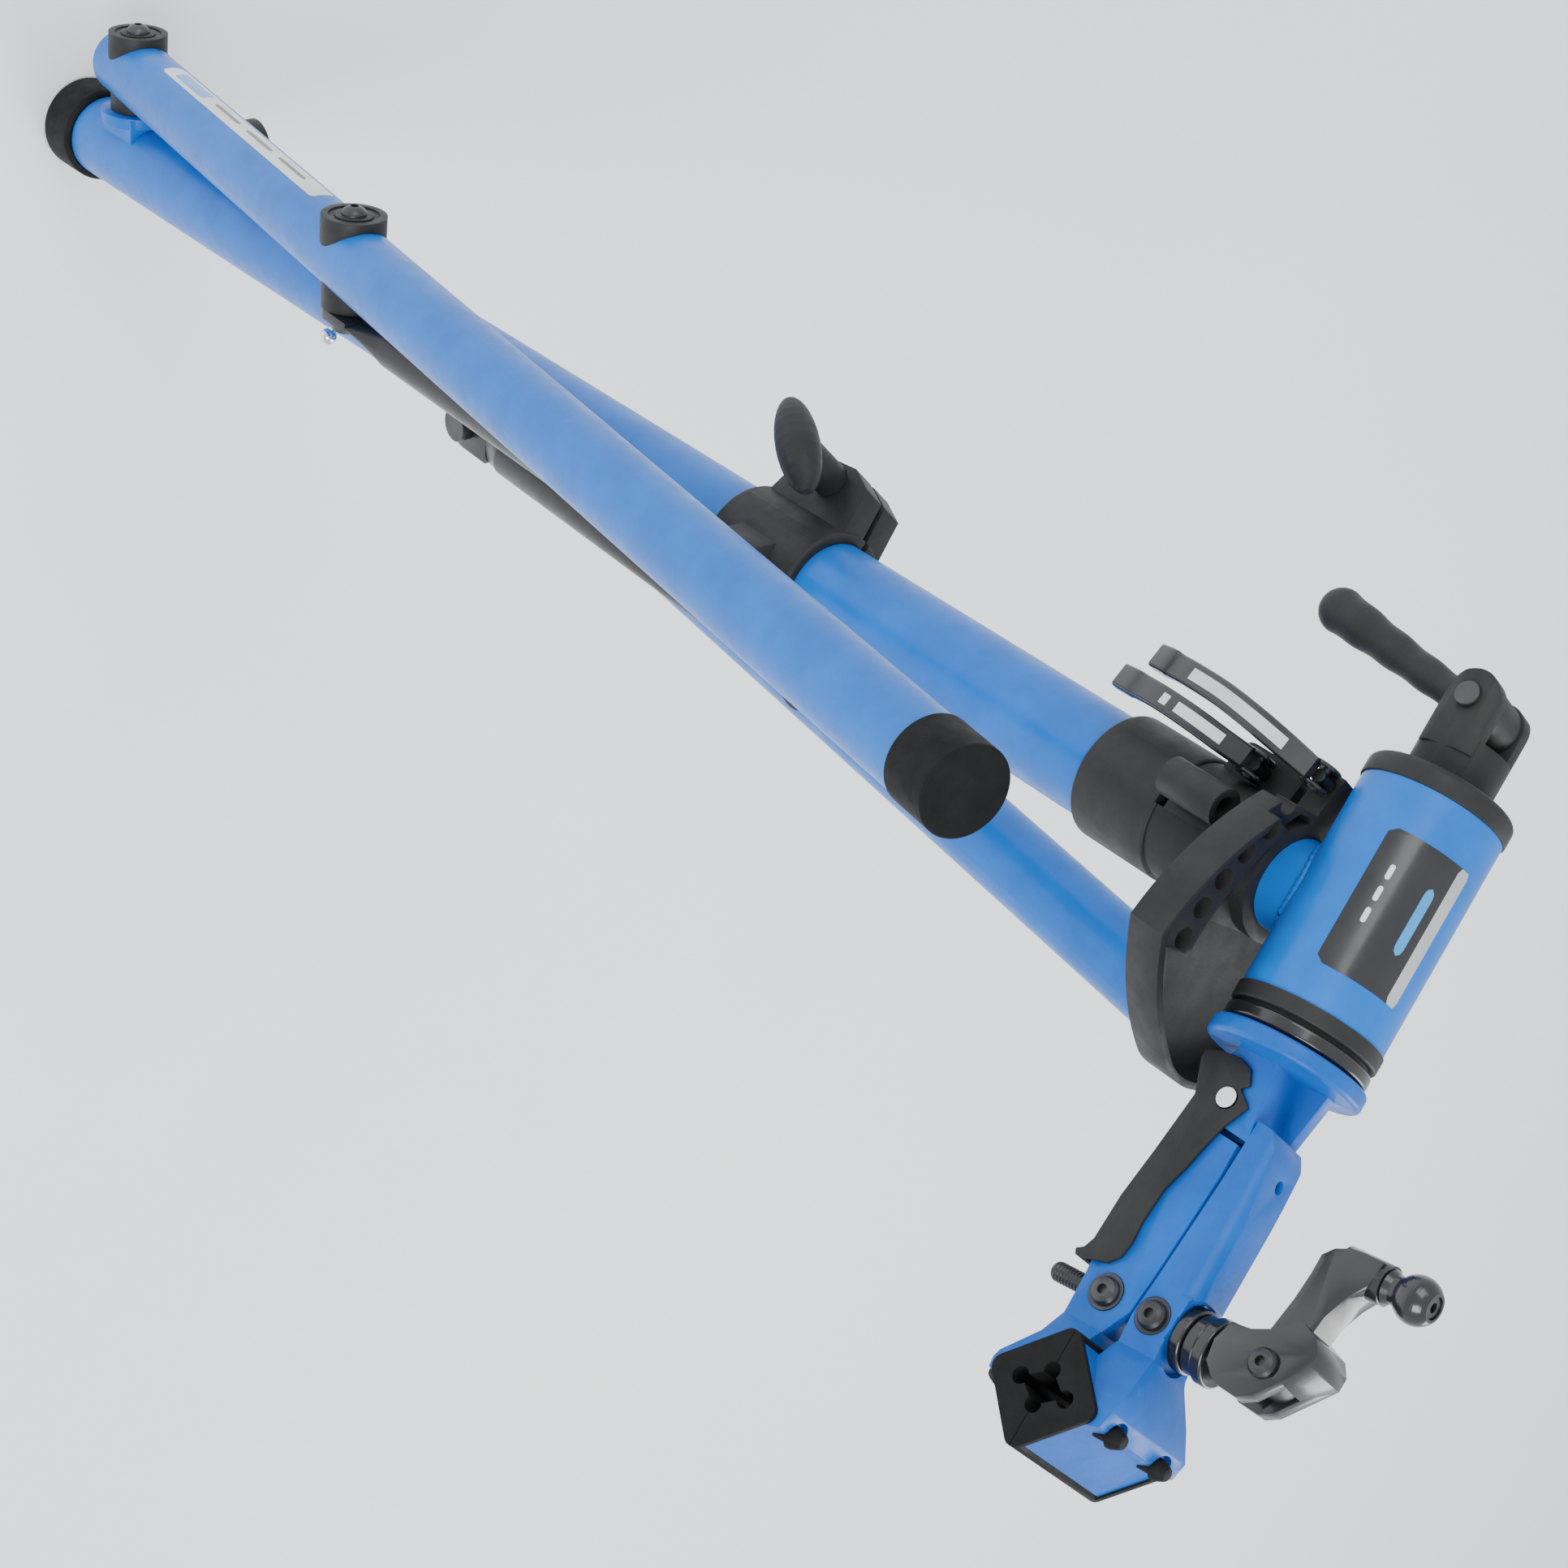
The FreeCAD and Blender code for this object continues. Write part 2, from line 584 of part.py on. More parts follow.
def tool_tray():
    shell = tray_plate(0, TRAY_BOTTOM, TRAY_TOP)
    shell = shell.cut(tray_plate(TRAY_WALL, TRAY_BOTTOM + TRAY_FLOOR, TRAY_TOP + 1))
    ledge = tray_plate(1.0, TRAY_BOTTOM + 1, TRAY_LEDGE)
    centre_side, centre_front = TRAY_HOLE_CENTRE
    middle = rod(TRAY_HOLE_START[0] - centre_side - 8.0, at(centre_side, centre_front, TRAY_BOTTOM),
                 at(centre_side, centre_front, TRAY_TOP))
    ledges = []
    for hand in (1, -1):
        half = ledge.common(block(tuple(sorted((hand * 8, hand * 90))), (-40, 41), (900, 1000)))
        ledges.append(half.cut(middle if hand > 0 else middle.mirror(ORIGIN, X_AXIS)))
    body = fuse([shell] + ledges)
    for hole_side, hole_front in tray_hole_points():
        body = body.cut(rod(TRAY_HOLE_R, at(hole_side, hole_front, TRAY_BOTTOM - 1),
                            at(hole_side, hole_front, TRAY_TOP + 1)))
    for hand in (1, -1):
        body = body.cut(tray_tool_slot(hand))
    body.rotate(ORIGIN, Z_AXIS, TRAY_TURN)
    hub = rod(25.0, at(0, 0, TRAY_BOTTOM), at(0, 0, 972.5))
    lugs = block((-14, 14), (-42, -15), (TRAY_BOTTOM, 972.5))
    body = fuse([body, hub, lugs])
    body = body.cut(block((-31, 45), (-60, -12), (972.5, TRAY_TOP + 1)))
    body = body.cut(rod(INNER_R, at(0, 0, TRAY_BOTTOM - 1), at(0, 0, TRAY_TOP + 1)))
    body = body.cut(block((-1.2, 1.2), (-45, -10), (TRAY_BOTTOM - 1, TRAY_TOP + 1)))
    side, front, up = TRAY_LEVER
    body = body.cut(rod(3.1, at(-30, front, up), at(30, front, up)))
    for side in ((14.2, 34), (-34, -14.2)):
        body = body.cut(block(side, (-50, -26.0), (TRAY_BOTTOM - 1, TRAY_TOP + 1)))
    return body


def tray_tool_slot(hand):
    """Curved slot round the hub, wide enough for a tool shank."""
    low = at(0, 0, TRAY_BOTTOM - 1)
    high = at(0, 0, TRAY_BOTTOM + TRAY_FLOOR + 1)
    ring = rod(35.0, low, high).cut(rod(26.5, low, high))
    wedge = extrude([low, low + at(60, 10, 0), low + at(60, 42, 0)],
                    at(0, 0, TRAY_FLOOR + 2))
    slot = ring.common(wedge)
    if hand < 0:
        slot = slot.mirror(ORIGIN, X_AXIS)
    return slot


# ---------------------------------------------------------------- head barrel

def on_head(shape):
    """Tip a shape built level into the head's tilted frame."""
    tipped = shape.copy()
    tipped.rotate(at(0, 0, HEAD_UP), X_AXIS, -HEAD_TILT)
    return tipped


def head(side, along, rise):
    return at(side, along, HEAD_UP + rise)


def head_barrel():
    return on_head(tube(BARREL_R, BARREL_BORE, head(0, BARREL_REAR, 0), head(0, BARREL_FRONT, 0)))


def barrel_rear_cap():
    ring = rod(29.8, head(0, BARREL_REAR, 0), head(0, BARREL_REAR - REAR_CAP, 0))
    ring = round_edges(ring, 3.5, circle_at(-(BARREL_REAR - REAR_CAP), 29.8, 1))
    bush = rod(BARREL_BORE, head(0, BARREL_REAR, 0), head(0, BARREL_REAR + 16, 0))
    body = ring.fuse(bush)
    bore = rod(SHAFT_R + RUNNING, head(0, -80, 0), head(0, 0, 0))
    return on_head(body.cut(bore))


def barrel_front_bush():
    ring = rod(29.7, head(0, BARREL_FRONT, 0), head(0, 45.5, 0))
    ring = round_edges(ring, 1.0, circle_at(-45.5, 29.7, 1))
    bush = rod(BARREL_BORE, head(0, BARREL_FRONT, 0), head(0, BARREL_FRONT - 16, 0))
    neck = rod(27.0, head(0, 45, 0), head(0, 47, 0))
    bore = rod(SHAFT_R + RUNNING, head(0, 0, 0), head(0, 80, 0))
    return on_head(fuse([ring, bush, neck]).cut(bore))


def friction_washer():
    ring = rod(29.4, head(0, 47, 0), head(0, 52.9, 0))
    ring = round_edges(ring, 1.5, lambda e: True)
    bore = rod(SHAFT_R + RUNNING, head(0, 0, 0), head(0, 80, 0))
    return on_head(ring.cut(bore))


def clamp_shaft():
    """Shaft from the clamp's flange back through the barrel to the tightening yoke."""
    body = rod(SHAFT_R, head(0, FLANGE_START, 0), head(0, -61.3, 0))
    stud = rod(6.0, head(0, -61.3, 0), head(0, -77, 0))
    return on_head(body.fuse(stud).removeSplitter())


# ---------------------------------------------------------------- tightening yoke and handle

def tightening_yoke():
    """Stem with a fork for the handle."""
    stem = rod(YOKE_R, head(0, -61.6, 0), head(0, -79, 0))
    cheek = rod(FORK_R, head(-YOKE_R, YOKE_PIN, 0), head(YOKE_R, YOKE_PIN, 0))
    neck = block((-YOKE_R, YOKE_R), (YOKE_PIN, -72), (HEAD_UP - FORK_R, HEAD_UP + FORK_R))
    fork = cheek.fuse(neck).common(rod(YOKE_R + 1.2, head(0, -70, 0), head(0, -130, 0)))
    body = fuse([stem, fork])
    body = body.cut(block((-9.6, 9.6), (-130, -79.6), (HEAD_UP - 30, HEAD_UP + 30)))
    body = body.cut(rod(6.1, head(0, -60, 0), head(0, -77.2, 0)))
    body = body.cut(rod(3.0, head(-30, YOKE_PIN, 0), head(30, YOKE_PIN, 0)))
    return on_head(body)


def yoke_pin():
    pin = rod(3.0, head(-YOKE_R - 0.6, YOKE_PIN, 0), head(YOKE_R + 0.6, YOKE_PIN, 0))
    heads = []
    for way in (-1, 1):
        heads.append(rod(5.0, head(way * (YOKE_R + 0.6), YOKE_PIN, 0),
                         head(way * (YOKE_R + 2.6), YOKE_PIN, 0)))
    return on_head(fuse([pin] + heads))


def locking_handle():
    """Club-shaped grip with four finger swells."""
    hub = rod(10.5, head(-9.2, YOKE_PIN, 0), head(9.2, YOKE_PIN, 0))
    steps = 30
    profile = []
    for i in range(steps + 1):
        t = i / steps
        radius = 6.5 + 2.8 * t ** 2 + 0.25 * math.sin(8 * math.pi * t)
        profile.append((9 + (HANDLE_REACH - 9) * t, radius))
    end_r = profile[-1][1]
    for i in range(1, 8):
        turn = math.pi / 2 * i / 8
        profile.append((HANDLE_REACH + end_r * math.sin(turn), end_r * math.cos(turn)))
    direction = at(0, -math.sin(math.radians(HANDLE_LEAN)), -math.cos(math.radians(HANDLE_LEAN)))
    grip = spin(profile, head(0, YOKE_PIN, 0), direction)
    body = fuse([hub, grip])
    body = body.cut(rod(3.1, head(-30, YOKE_PIN, 0), head(30, YOKE_PIN, 0)))
    return on_head(body)


# ---------------------------------------------------------------- clamp

def plate(outline, half):
    """Solid from an (along, rise) outline, spread evenly to both sides."""
    return extrude([head(-half, along, rise) for along, rise in outline], at(2 * half, 0, 0))


def slab(outline, low, high):
    return extrude([head(low, along, rise) for along, rise in outline], at(high - low, 0, 0))


def diamond(size, half, corner=0):
    """Square on its corner round the clamping axis, its corners rounded on request."""
    body = plate([(JAW_ALONG - size, 0), (JAW_ALONG, size), (JAW_ALONG + size, 0),
                  (JAW_ALONG, -size)], half)
    if corner:
        body = round_edges(body, corner, lambda e: abs(e.Length - 2 * half) < 0.01)
    return body


def splay(shape):
    """Trim a full-width jaw back so that it widens from the arm to the pad seat."""
    plan = [(-CHEEK_HALF, 176), (-JAW_HALF_LENGTH, 200), (-JAW_HALF_LENGTH, 240),
            (JAW_HALF_LENGTH, 240), (JAW_HALF_LENGTH, 200), (CHEEK_HALF, 176)]
    wedge = extrude([head(side, along, -60) for side, along in plan], at(0, 0, 120))
    return shape.common(wedge)


def jaw_half(shape, sign):
    """Keep the part of a jaw shape on one side of the parting plane."""
    rise = (HEAD_UP + 0.15, HEAD_UP + 80) if sign > 0 else (HEAD_UP - 80, HEAD_UP - 0.15)
    return shape.common(block((-60, 60), (JAW_ALONG - 60, JAW_ALONG + 60), rise))


def jaw_v(sign):
    """V-shaped seat behind a pad."""
    ring = diamond(JAW_HALF_DIAGONAL, JAW_HALF_LENGTH)
    ring = ring.cut(diamond(JAW_HALF_DIAGONAL - JAW_PLATE * math.sqrt(2), JAW_HALF_LENGTH + 1))
    tips = block((-60, 60), (JAW_ALONG - 60, JAW_ALONG + 60), (HEAD_UP - 3.2, HEAD_UP + 3.2))
    return jaw_half(ring.cut(tips), sign)


def jaw_pad(sign):
    """Rubber pad with end flanges and lips, split from its twin at the middle."""
    body = diamond(JAW_HALF_DIAGONAL - JAW_PLATE * math.sqrt(2), JAW_HALF_LENGTH)
    rim = diamond(PAD_DIAGONAL, JAW_HALF_LENGTH + PAD_FLANGE, PAD_CORNER)
    ends = rim.cut(plate([(JAW_ALONG - 60, -60), (JAW_ALONG - 60, 60), (JAW_ALONG + 60, 60),
                          (JAW_ALONG + 60, -60)], JAW_HALF_LENGTH))
    lips = rim.common(block((-60, 60), (JAW_ALONG - 60, JAW_ALONG + 60), (HEAD_UP - 2.9, HEAD_UP + 2.9)))
    body = body.fuse([ends, lips]).cut(pad_opening())
    pad = jaw_half(body.removeSplitter(), sign)
    for side in (-NUB_SIDE, NUB_SIDE):
        pad = pad.fuse(pad_nub(side, sign))
    return pad


def pad_opening():
    """Four rounded lobes on a narrow core, taller than it is wide."""
    core = plate([(JAW_ALONG - 7, 0), (JAW_ALONG, 10), (JAW_ALONG + 7, 0), (JAW_ALONG, -10)], 60)
    lobes = [core]
    for along, rise in ((6.7, 0), (-6.7, 0), (0, 10.4), (0, -10.4)):
        lobes.append(rod(3.3, head(-60, JAW_ALONG + along, rise), head(60, JAW_ALONG + along, rise)))
    return fuse(lobes)


def pad_nub(side, sign):
    """Barbed plug that holds the pad in its seat."""
    start = head(side, NUB_ALONG, sign * 14.0)
    return spin([(0, 3.0), (11.0, 3.0), (11.3, 4.4), (13.0, 4.2), (16.0, 3.0), (17.0, 2.4)],
                start, at(0, 0, sign))


def nub_holes(sign):
    holes = []
    for side in (-NUB_SIDE, NUB_SIDE):
        holes.append(rod(3.0, head(side, NUB_ALONG, sign * 14), head(side, NUB_ALONG, sign * 25)))
        holes.append(rod(6.0, head(side, NUB_ALONG, sign * 24.9), head(side, NUB_ALONG, sign * 40)))
    return Part.makeCompound(holes)


def crown(low, high):
    """Round-topped bar that gives the fixed arm its cross-section."""
    half, rim = CHEEK_HALF, 7.0
    section = [(-half, -40), (-half, high - rim)]
    for i in range(1, 9):
        turn = math.pi / 2 * i / 8
        section.append((-half + rim - rim * math.cos(turn), high - rim + rim * math.sin(turn)))
    section += [(-side, rise) for side, rise in reversed(section)]
    return extrude([head(side, low, rise) for side, rise in section], at(0, 153 - low, 0))


def ring_sweep():
    """Space the thrust rings pass through as the spindle tips with the moving arm."""
    post = rod(13.3, head(0, SCREW_ALONG, 21.1), head(0, SCREW_ALONG, 60))
    tilts = []
    for tilt in (0.0, 3.2, 6.4, 9.6):
        leaned = post.copy()
        leaned.rotate(head(0, SCREW_ALONG, FIXED_TRUNNION), X_AXIS, tilt)
        tilts.append(leaned)
    return fuse(tilts)


def fixed_jaw():
    """Casting: flange, fork for the moving arm, round-topped arm and V seat."""
    flange = rod(FLANGE_R, head(0, FLANGE_START, 0), head(0, FLANGE_END, 0))
    flange = round_edges(flange, 2.0, lambda e: abs(e.Length - 2 * math.pi * FLANGE_R) < 0.1)
    fork = plate([(60, -12), (60, 4), (81, 8), (92, 10), (90, -4), (84, -14), (78, -15), (72, -15.5),
                  (66, -15)], CHEEK_HALF)
    rib = slab([(60, 3), (60, 18), (83, 14), (90, 20), (90, 3)], -CHEEK_HALF, -7.0)
    arm = plate([(83, 9.8), (84, 17), (90, 21), (120, 24), (149, 24.5), (152, 22), (171, 21), (178, 22),
                 (184, 12), (178, 5), (165, 4.2), (150, 5.7), (108, 8.8)], CHEEK_HALF)
    arm = arm.common(crown(80, 24.5).fuse(plate([(151, -5), (151, 40), (190, 40), (190, -5)],
                                                CHEEK_HALF)))
    back = splay(plate([(166, 4.5), (166, 21), (178, 22), (190, 26), (200, 28), (207, 26.5),
                        (209, 19.5), (204.5, 19.5), (188, 4.5)], JAW_HALF_LENGTH))
    body = fuse([flange, fork, rib, arm, back])
    body = body.cut(plate([(61.0, -30), (61.0, 3.4), (84, 3.6), (88.5, 8.0), (96, 8.0), (100, -40)], 7.0))
    body = body.cut(rod(2.6, head(-2, 99.5, 0), head(-2, 99.5, 40)))
    body = body.cut(plate([(156.0, 0), (155.0, 45), (171.5, 45), (168.5, 0)], 4.6))
    body = body.cut(ring_sweep())
    body = body.cut(rod(7.2, head(-30, SCREW_ALONG, FIXED_TRUNNION),
                        head(30, SCREW_ALONG, FIXED_TRUNNION)))
    body = body.cut(diamond(JAW_HALF_DIAGONAL - JAW_PLATE * math.sqrt(2), 60))
    body = fuse([body, jaw_v(1)])
    body = body.cut(nub_holes(1))
    body = body.cut(rod(4.0, head(-30, *PIVOT), head(30, *PIVOT)))
    return on_head(body)


def moving_jaw():
    """Arm that swings on the chrome pin, slotted for the clamping screw."""
    hub = plate([(72, -11), (76, -14), (92, -14.2), (92, 6.9), (87, 3), (76, 2)], 6.7)
    hub = hub.common(rod(19.0, head(-30, *PIVOT), head(30, *PIVOT)))
    eye = rod(8.5, head(-6.7, *PIVOT), head(6.7, *PIVOT))
    arm = plate([(91.5, -14.5), (109.5, -18.2), (129, -20.8), (152, -22.3), (160, -21.5),
                 (178, -21), (182, -9), (176, -3), (165, 2.8), (150, 4.3), (108, 7.2),
                 (94, 7.0)], ARM_HALF)
    back = splay(plate([(166, -2), (166, -21.3), (186, -20.5), (203, -26), (207, -25.5),
                        (209, -19.5), (204.5, -19.5), (188, -4.5)], JAW_HALF_LENGTH))
    body = fuse([hub, eye, arm, back])
    body = body.cut(plate([(155.5, -60), (154.5, 20), (169.5, 20), (168.0, -60)], 4.8))
    body = body.cut(rod(7.2, head(-30, SCREW_ALONG, MOVING_TRUNNION),
                        head(30, SCREW_ALONG, MOVING_TRUNNION)))
    body = body.cut(diamond(JAW_HALF_DIAGONAL - JAW_PLATE * math.sqrt(2), 60))
    body = fuse([body, jaw_v(-1)])
    body = body.cut(nub_holes(-1))
    body = body.cut(rod(4.05, head(-30, *PIVOT), head(30, *PIVOT)))
    return on_head(body)


def jaw_pivot_pin():
    pin = rod(4.0, head(-15.2, *PIVOT), head(15.2, *PIVOT))
    groove = tube(4.5, 3.3, head(14.5, *PIVOT), head(14.9, *PIVOT))
    return on_head(pin.cut(groove))


def moving_jaw_cover():
    """Moulded guard over the moving arm's back, hooked round the pivot at its top."""
    outline = [(70.7, -23.6), (67.3, -23.9), (65.3, -17.5), (64.8, -9), (67.3, -2.5), (72.9, 0.5),
               (75.3, -2.4), (80.4, 4.5), (90.4, -0.4), (97, -2.4), (109.7, -5.6), (120.2, -9),
               (134.3, -10), (143, -9.4), (149.2, -10.5), (153.3, -14.2), (155, -22.1), (155.9, -28),
               (153.6, -29.3), (151.7, -26.3), (147.5, -24.5), (128.9, -23.8), (109.5, -21.1),
               (84.1, -18.2)]
    body = plate(outline, COVER_HALF)
    inner = plate([(60, 20), (60, -22.3), (70, -22.0), (84.1, -16.4), (91, -16.4), (109.5, -19.4),
                   (128.9, -22.0), (147.5, -22.8), (152, -24.2), (160, -24.2), (160, 20)],
                  COVER_HALF - COVER_WALL)
    body = body.cut(inner)
    return on_head(body.cut(rod(4.3, head(-30, *PIVOT), head(30, *PIVOT))))


def trunnion(rise, bore):
    """Cross barrel for the clamping screw, with a button-head bolt at each end."""
    body = rod(7.0, head(-12.8, SCREW_ALONG, rise), head(12.8, SCREW_ALONG, rise))
    body = body.cut(rod(bore, head(0, SCREW_ALONG, rise - 20),
                        head(0, SCREW_ALONG, rise + 20)))
    pieces = [body]
    reach = CHEEK_HALF + 0.3 if rise > 0 else ARM_HALF + 0.3
    for way in (-1, 1):
        neck = rod(3.0, head(way * 12.7, SCREW_ALONG, rise), head(way * reach, SCREW_ALONG, rise))
        button = spin([(0, 5.6), (1.2, 5.5), (2.4, 4.6), (3.1, 3.0)],
                      head(way * reach, SCREW_ALONG, rise), at(way, 0, 0))
        socket = rod(1.9, head(way * (reach + 1.2), SCREW_ALONG, rise),
                     head(way * (reach + 5), SCREW_ALONG, rise))
        pieces.append(neck.fuse(button).cut(socket))
    return on_head(fuse(pieces))


def clamp_spindle():
    """Threaded rod through both trunnions, ending in an offset eye for the crank bolt."""
    along, rise = CRANK_BOLT
    screw = rod(SPINDLE_R, head(0, SCREW_ALONG, SPINDLE_END), head(0, SCREW_ALONG, 44))
    eye = plate([(along - 5, 37.9), (along + 7, 37.9), (along + 8, rise), (along - 8, rise)], 5.7)
    crown_end = rod(8.0, head(-5.7, along, rise), head(5.7, along, rise))
    body = fuse([screw, eye, crown_end])
    body = body.cut(rod(3.05, head(-20, along, rise), head(20, along, rise)))
    return on_head(body)


def spindle_rings():
    """Three thrust rings between the arm and the crank."""
    rings = []
    for low, high, radius in ((21.5, 26.4, 12.4), (26.6, 31.8, 11.4), (32.0, 37.0, 12.8)):
        ring = rod(radius, head(0, SCREW_ALONG, low), head(0, SCREW_ALONG, high))
        ring = ring.makeFillet(1.0, [ring.Edges[0], ring.Edges[2]])
        rings.append(ring.cut(rod(SPINDLE_R, head(0, SCREW_ALONG, 10), head(0, SCREW_ALONG, 60))))
    return on_head(Part.makeCompound(rings))


def crank():
    """Forked cam root round the spindle's eye, swept arm, and a boss for the knob."""
    along, rise = CRANK_BOLT
    root = plate([(151.6, 41.2), (150.7, 49.1), (147.1, 57), (140.5, 65.4), (143.4, 73), (148.2, 76.5),
                  (153.6, 76.4), (162.3, 69.3), (171.2, 62.0), (174.2, 56.7), (173.5, 47.9),
                  (171.5, 44.2), (167.5, 39.8), (159.5, 38.3)], 13)
    root = root.cut(plate([(150.9, 30), (150.9, rise + 8.6), (185, rise + 8.6), (185, 30)], 6.2))
    arm = plate([(150.5, 52), (133.7, 54.8), (123.5, 55.6), (115.7, 55.6), (111.7, 59.1),
                 (109.3, 64.7), (108.7, 70.2), (108.8, 78.4), (117.9, 77.5), (125.7, 72.3),
                 (135, 68.6), (143.1, 67.6), (150.5, 70)], 7.5)
    boss = rod(7.5, head(0, KNOB_ALONG, 62), head(0, KNOB_ALONG, KNOB_BASE - 0.5))
    body = fuse([root, arm, boss])
    body = body.cut(rod(3.05, head(-20, along, rise), head(20, along, rise)))
    body = body.cut(rod(3.0, head(0, KNOB_ALONG, 65), head(0, KNOB_ALONG, 90)))
    return on_head(body)


def crank_bolt():
    along, rise = CRANK_BOLT
    pieces = [rod(3.0, head(-13.1, along, rise), head(13.1, along, rise))]
    for way in (-1, 1):
        pieces.append(spin([(0, 5.6), (1.2, 5.5), (2.4, 4.6), (3.1, 3.0)],
                           head(way * 13.1, along, rise), at(way, 0, 0)))
    body = fuse(pieces)
    return on_head(body.cut(rod(1.9, head(14.3, along, rise), head(20, along, rise))))


def knob_screw():
    shank = rod(2.9, head(0, KNOB_ALONG, 65), head(0, KNOB_ALONG, BALL_RISE + 3))
    cap = rod(4.0, head(0, KNOB_ALONG, BALL_RISE + 3), head(0, KNOB_ALONG, BALL_RISE + 6.6))
    socket = rod(1.9, head(0, KNOB_ALONG, BALL_RISE + 4), head(0, KNOB_ALONG, BALL_RISE + 12))
    return on_head(shank.fuse(cap).cut(socket))


def crank_knob():
    """Ball grip with a waisted neck and a flat top, free to spin on its screw."""
    steps = 18
    profile = [(KNOB_BASE - BALL_RISE, 6.6), (KNOB_BASE - BALL_RISE + 2.5, 5.6)]
    for i in range(steps):
        turn = math.radians(-52 + 105.5 * i / (steps - 1))
        profile.append((BALL_R * math.sin(turn), BALL_R * math.cos(turn)))
    body = spin(profile, head(0, KNOB_ALONG, BALL_RISE), at(0, 0, 1))
    body = body.cut(rod(3.0, head(0, KNOB_ALONG, 50), head(0, KNOB_ALONG, 130)))
    body = body.cut(rod(4.3, head(0, KNOB_ALONG, BALL_RISE + 2.9), head(0, KNOB_ALONG, 130)))
    return on_head(body)


# ---------------------------------------------------------------- write every sub-part

def main():
    parts = {
        "outer_mast": outer_mast(),
        "foot_cap": foot_cap(),
        "collar_stop_pin": collar_stop_pin(),
        "mast_sleeve": mast_sleeve(),
        "mast_skewer": quick_release_skewer(MAST_LEVER, -14, 1.2),
        "mast_lever": quick_release_lever(MAST_LEVER, 70.5, 15.5, 6.5, 10, 1.2, 90),
        "mast_lever_pin": cam_pin(MAST_LEVER, 10, 1.2),
        "inner_mast": inner_mast(),
        "mast_glide": mast_glide(),
        "tool_tray": tool_tray(),
        "tray_skewer": quick_release_skewer(TRAY_LEVER, -15, 5.0),
        "tray_lever": quick_release_lever(TRAY_LEVER, 92, 12.5, 7.5, 10.5, 5.0, 105),
        "tray_lever_pin": cam_pin(TRAY_LEVER, 10.5, 5.0),
        "sliding_collar": sliding_collar(),
        "collar_nut": collar_nut(),
        "collar_screw": collar_screw(),
        "collar_knob": collar_knob(),
        "head_barrel": head_barrel(),
        "barrel_rear_cap": barrel_rear_cap(),
        "barrel_front_bush": barrel_front_bush(),
        "friction_washer": friction_washer(),
        "clamp_shaft": clamp_shaft(),
        "tightening_yoke": tightening_yoke(),
        "yoke_pin": yoke_pin(),
        "locking_handle": locking_handle(),
        "fixed_jaw": fixed_jaw(),
        "fixed_jaw_pad": on_head(jaw_pad(1)),
        "moving_jaw": moving_jaw(),
        "moving_jaw_pad": on_head(jaw_pad(-1)),
        "moving_jaw_cover": moving_jaw_cover(),
        "jaw_pivot_pin": jaw_pivot_pin(),
        "fixed_trunnion": trunnion(FIXED_TRUNNION, SPINDLE_R + RUNNING),
        "moving_trunnion": trunnion(MOVING_TRUNNION, SPINDLE_R + NUT_SLACK),
        "clamp_spindle": clamp_spindle(),
        "spindle_rings": spindle_rings(),
        "crank": crank(),
        "crank_bolt": crank_bolt(),
        "knob_screw": knob_screw(),
        "crank_knob": crank_knob(),
    }
    for number, hand in ((1, 1), (2, -1)):
        leg = "leg_%d_" % number
        parts[leg + "ear"] = leg_ear(hand)
        parts[leg + "root_bolt"] = leg_root_bolt(hand)
        parts[leg + "tube"] = leg_tube(hand)
        parts[leg + "end_cap"] = leg_end_cap(hand)
        parts[leg + "saddles"] = leg_saddles(hand)
        parts[leg + "spacers"] = leg_spacers(hand)
        parts[leg + "mid_bolt"] = leg_mid_bolt(hand)
        parts["strut_%d" % number] = strut(hand)
        parts["strut_%d_link_bolt" % number] = strut_link_bolt(hand)
    for name, shape in parts.items():
        save(name, shape)
        solids = len(shape.Solids)
        print(name, "solids", solids, "valid", shape.isValid(), "volume", round(shape.Volume))


main()
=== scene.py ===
import json
import math
import random

import bmesh
import bpy
from mathutils import Matrix, Vector


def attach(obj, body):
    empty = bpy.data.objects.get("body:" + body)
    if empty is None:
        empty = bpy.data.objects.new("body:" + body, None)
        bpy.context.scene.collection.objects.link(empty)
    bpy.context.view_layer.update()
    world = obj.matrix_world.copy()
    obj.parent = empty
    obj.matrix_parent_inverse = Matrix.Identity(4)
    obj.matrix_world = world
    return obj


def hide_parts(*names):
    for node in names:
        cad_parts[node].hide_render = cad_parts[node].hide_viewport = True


# Folding bicycle repair stand, metres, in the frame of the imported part.
# Points are given as (side, front, up): side is towards leg 1 (-X), front towards the clamp (-Y).
# Inside the head, points are (side, along, rise), tipped with the barrel.

MM = 0.001
HEAD_UP = 1010.0
HEAD_TILT = math.radians(9.2)
LEG_SPREAD = math.radians(46.0)
LEG_FOLD = math.radians(8.3)
LEG_PIVOT = (49.0, 4.0, 70.0)
LEG_RADIUS = 18.0
BARREL_RADIUS = 29.0
MAST_LEVER_PIVOT = (18.0, -28.0, 939.0)
TRAY_LEVER_PIVOT = (21.0, -36.5, 968.0)
LEVER_HUB_RADIUS = 6.2
LEVER_HUB_FACES = (3.4, 5.2)
LEVER_BOSS_RADIUS = 3.0
LEVER_BOSS_FACES = (5.1, 5.5)
THREAD_ENDS = (-41.5, 37.0)
THREAD_PITCH = 1.5
THREAD_ROOT = 3.42
THREAD_DEPTH = 0.56
SPINDLE_ALONG = 162.5
CRANK_BOLT = (159.5, 60.0)
EYE_RADIUS = 8
EYE_FOOT = 37.9
WELD_RADIUS = 19.0
WELD_DEPTH = 28.7
LABEL_LIFTS = (0.10, 0.16, 0.22)

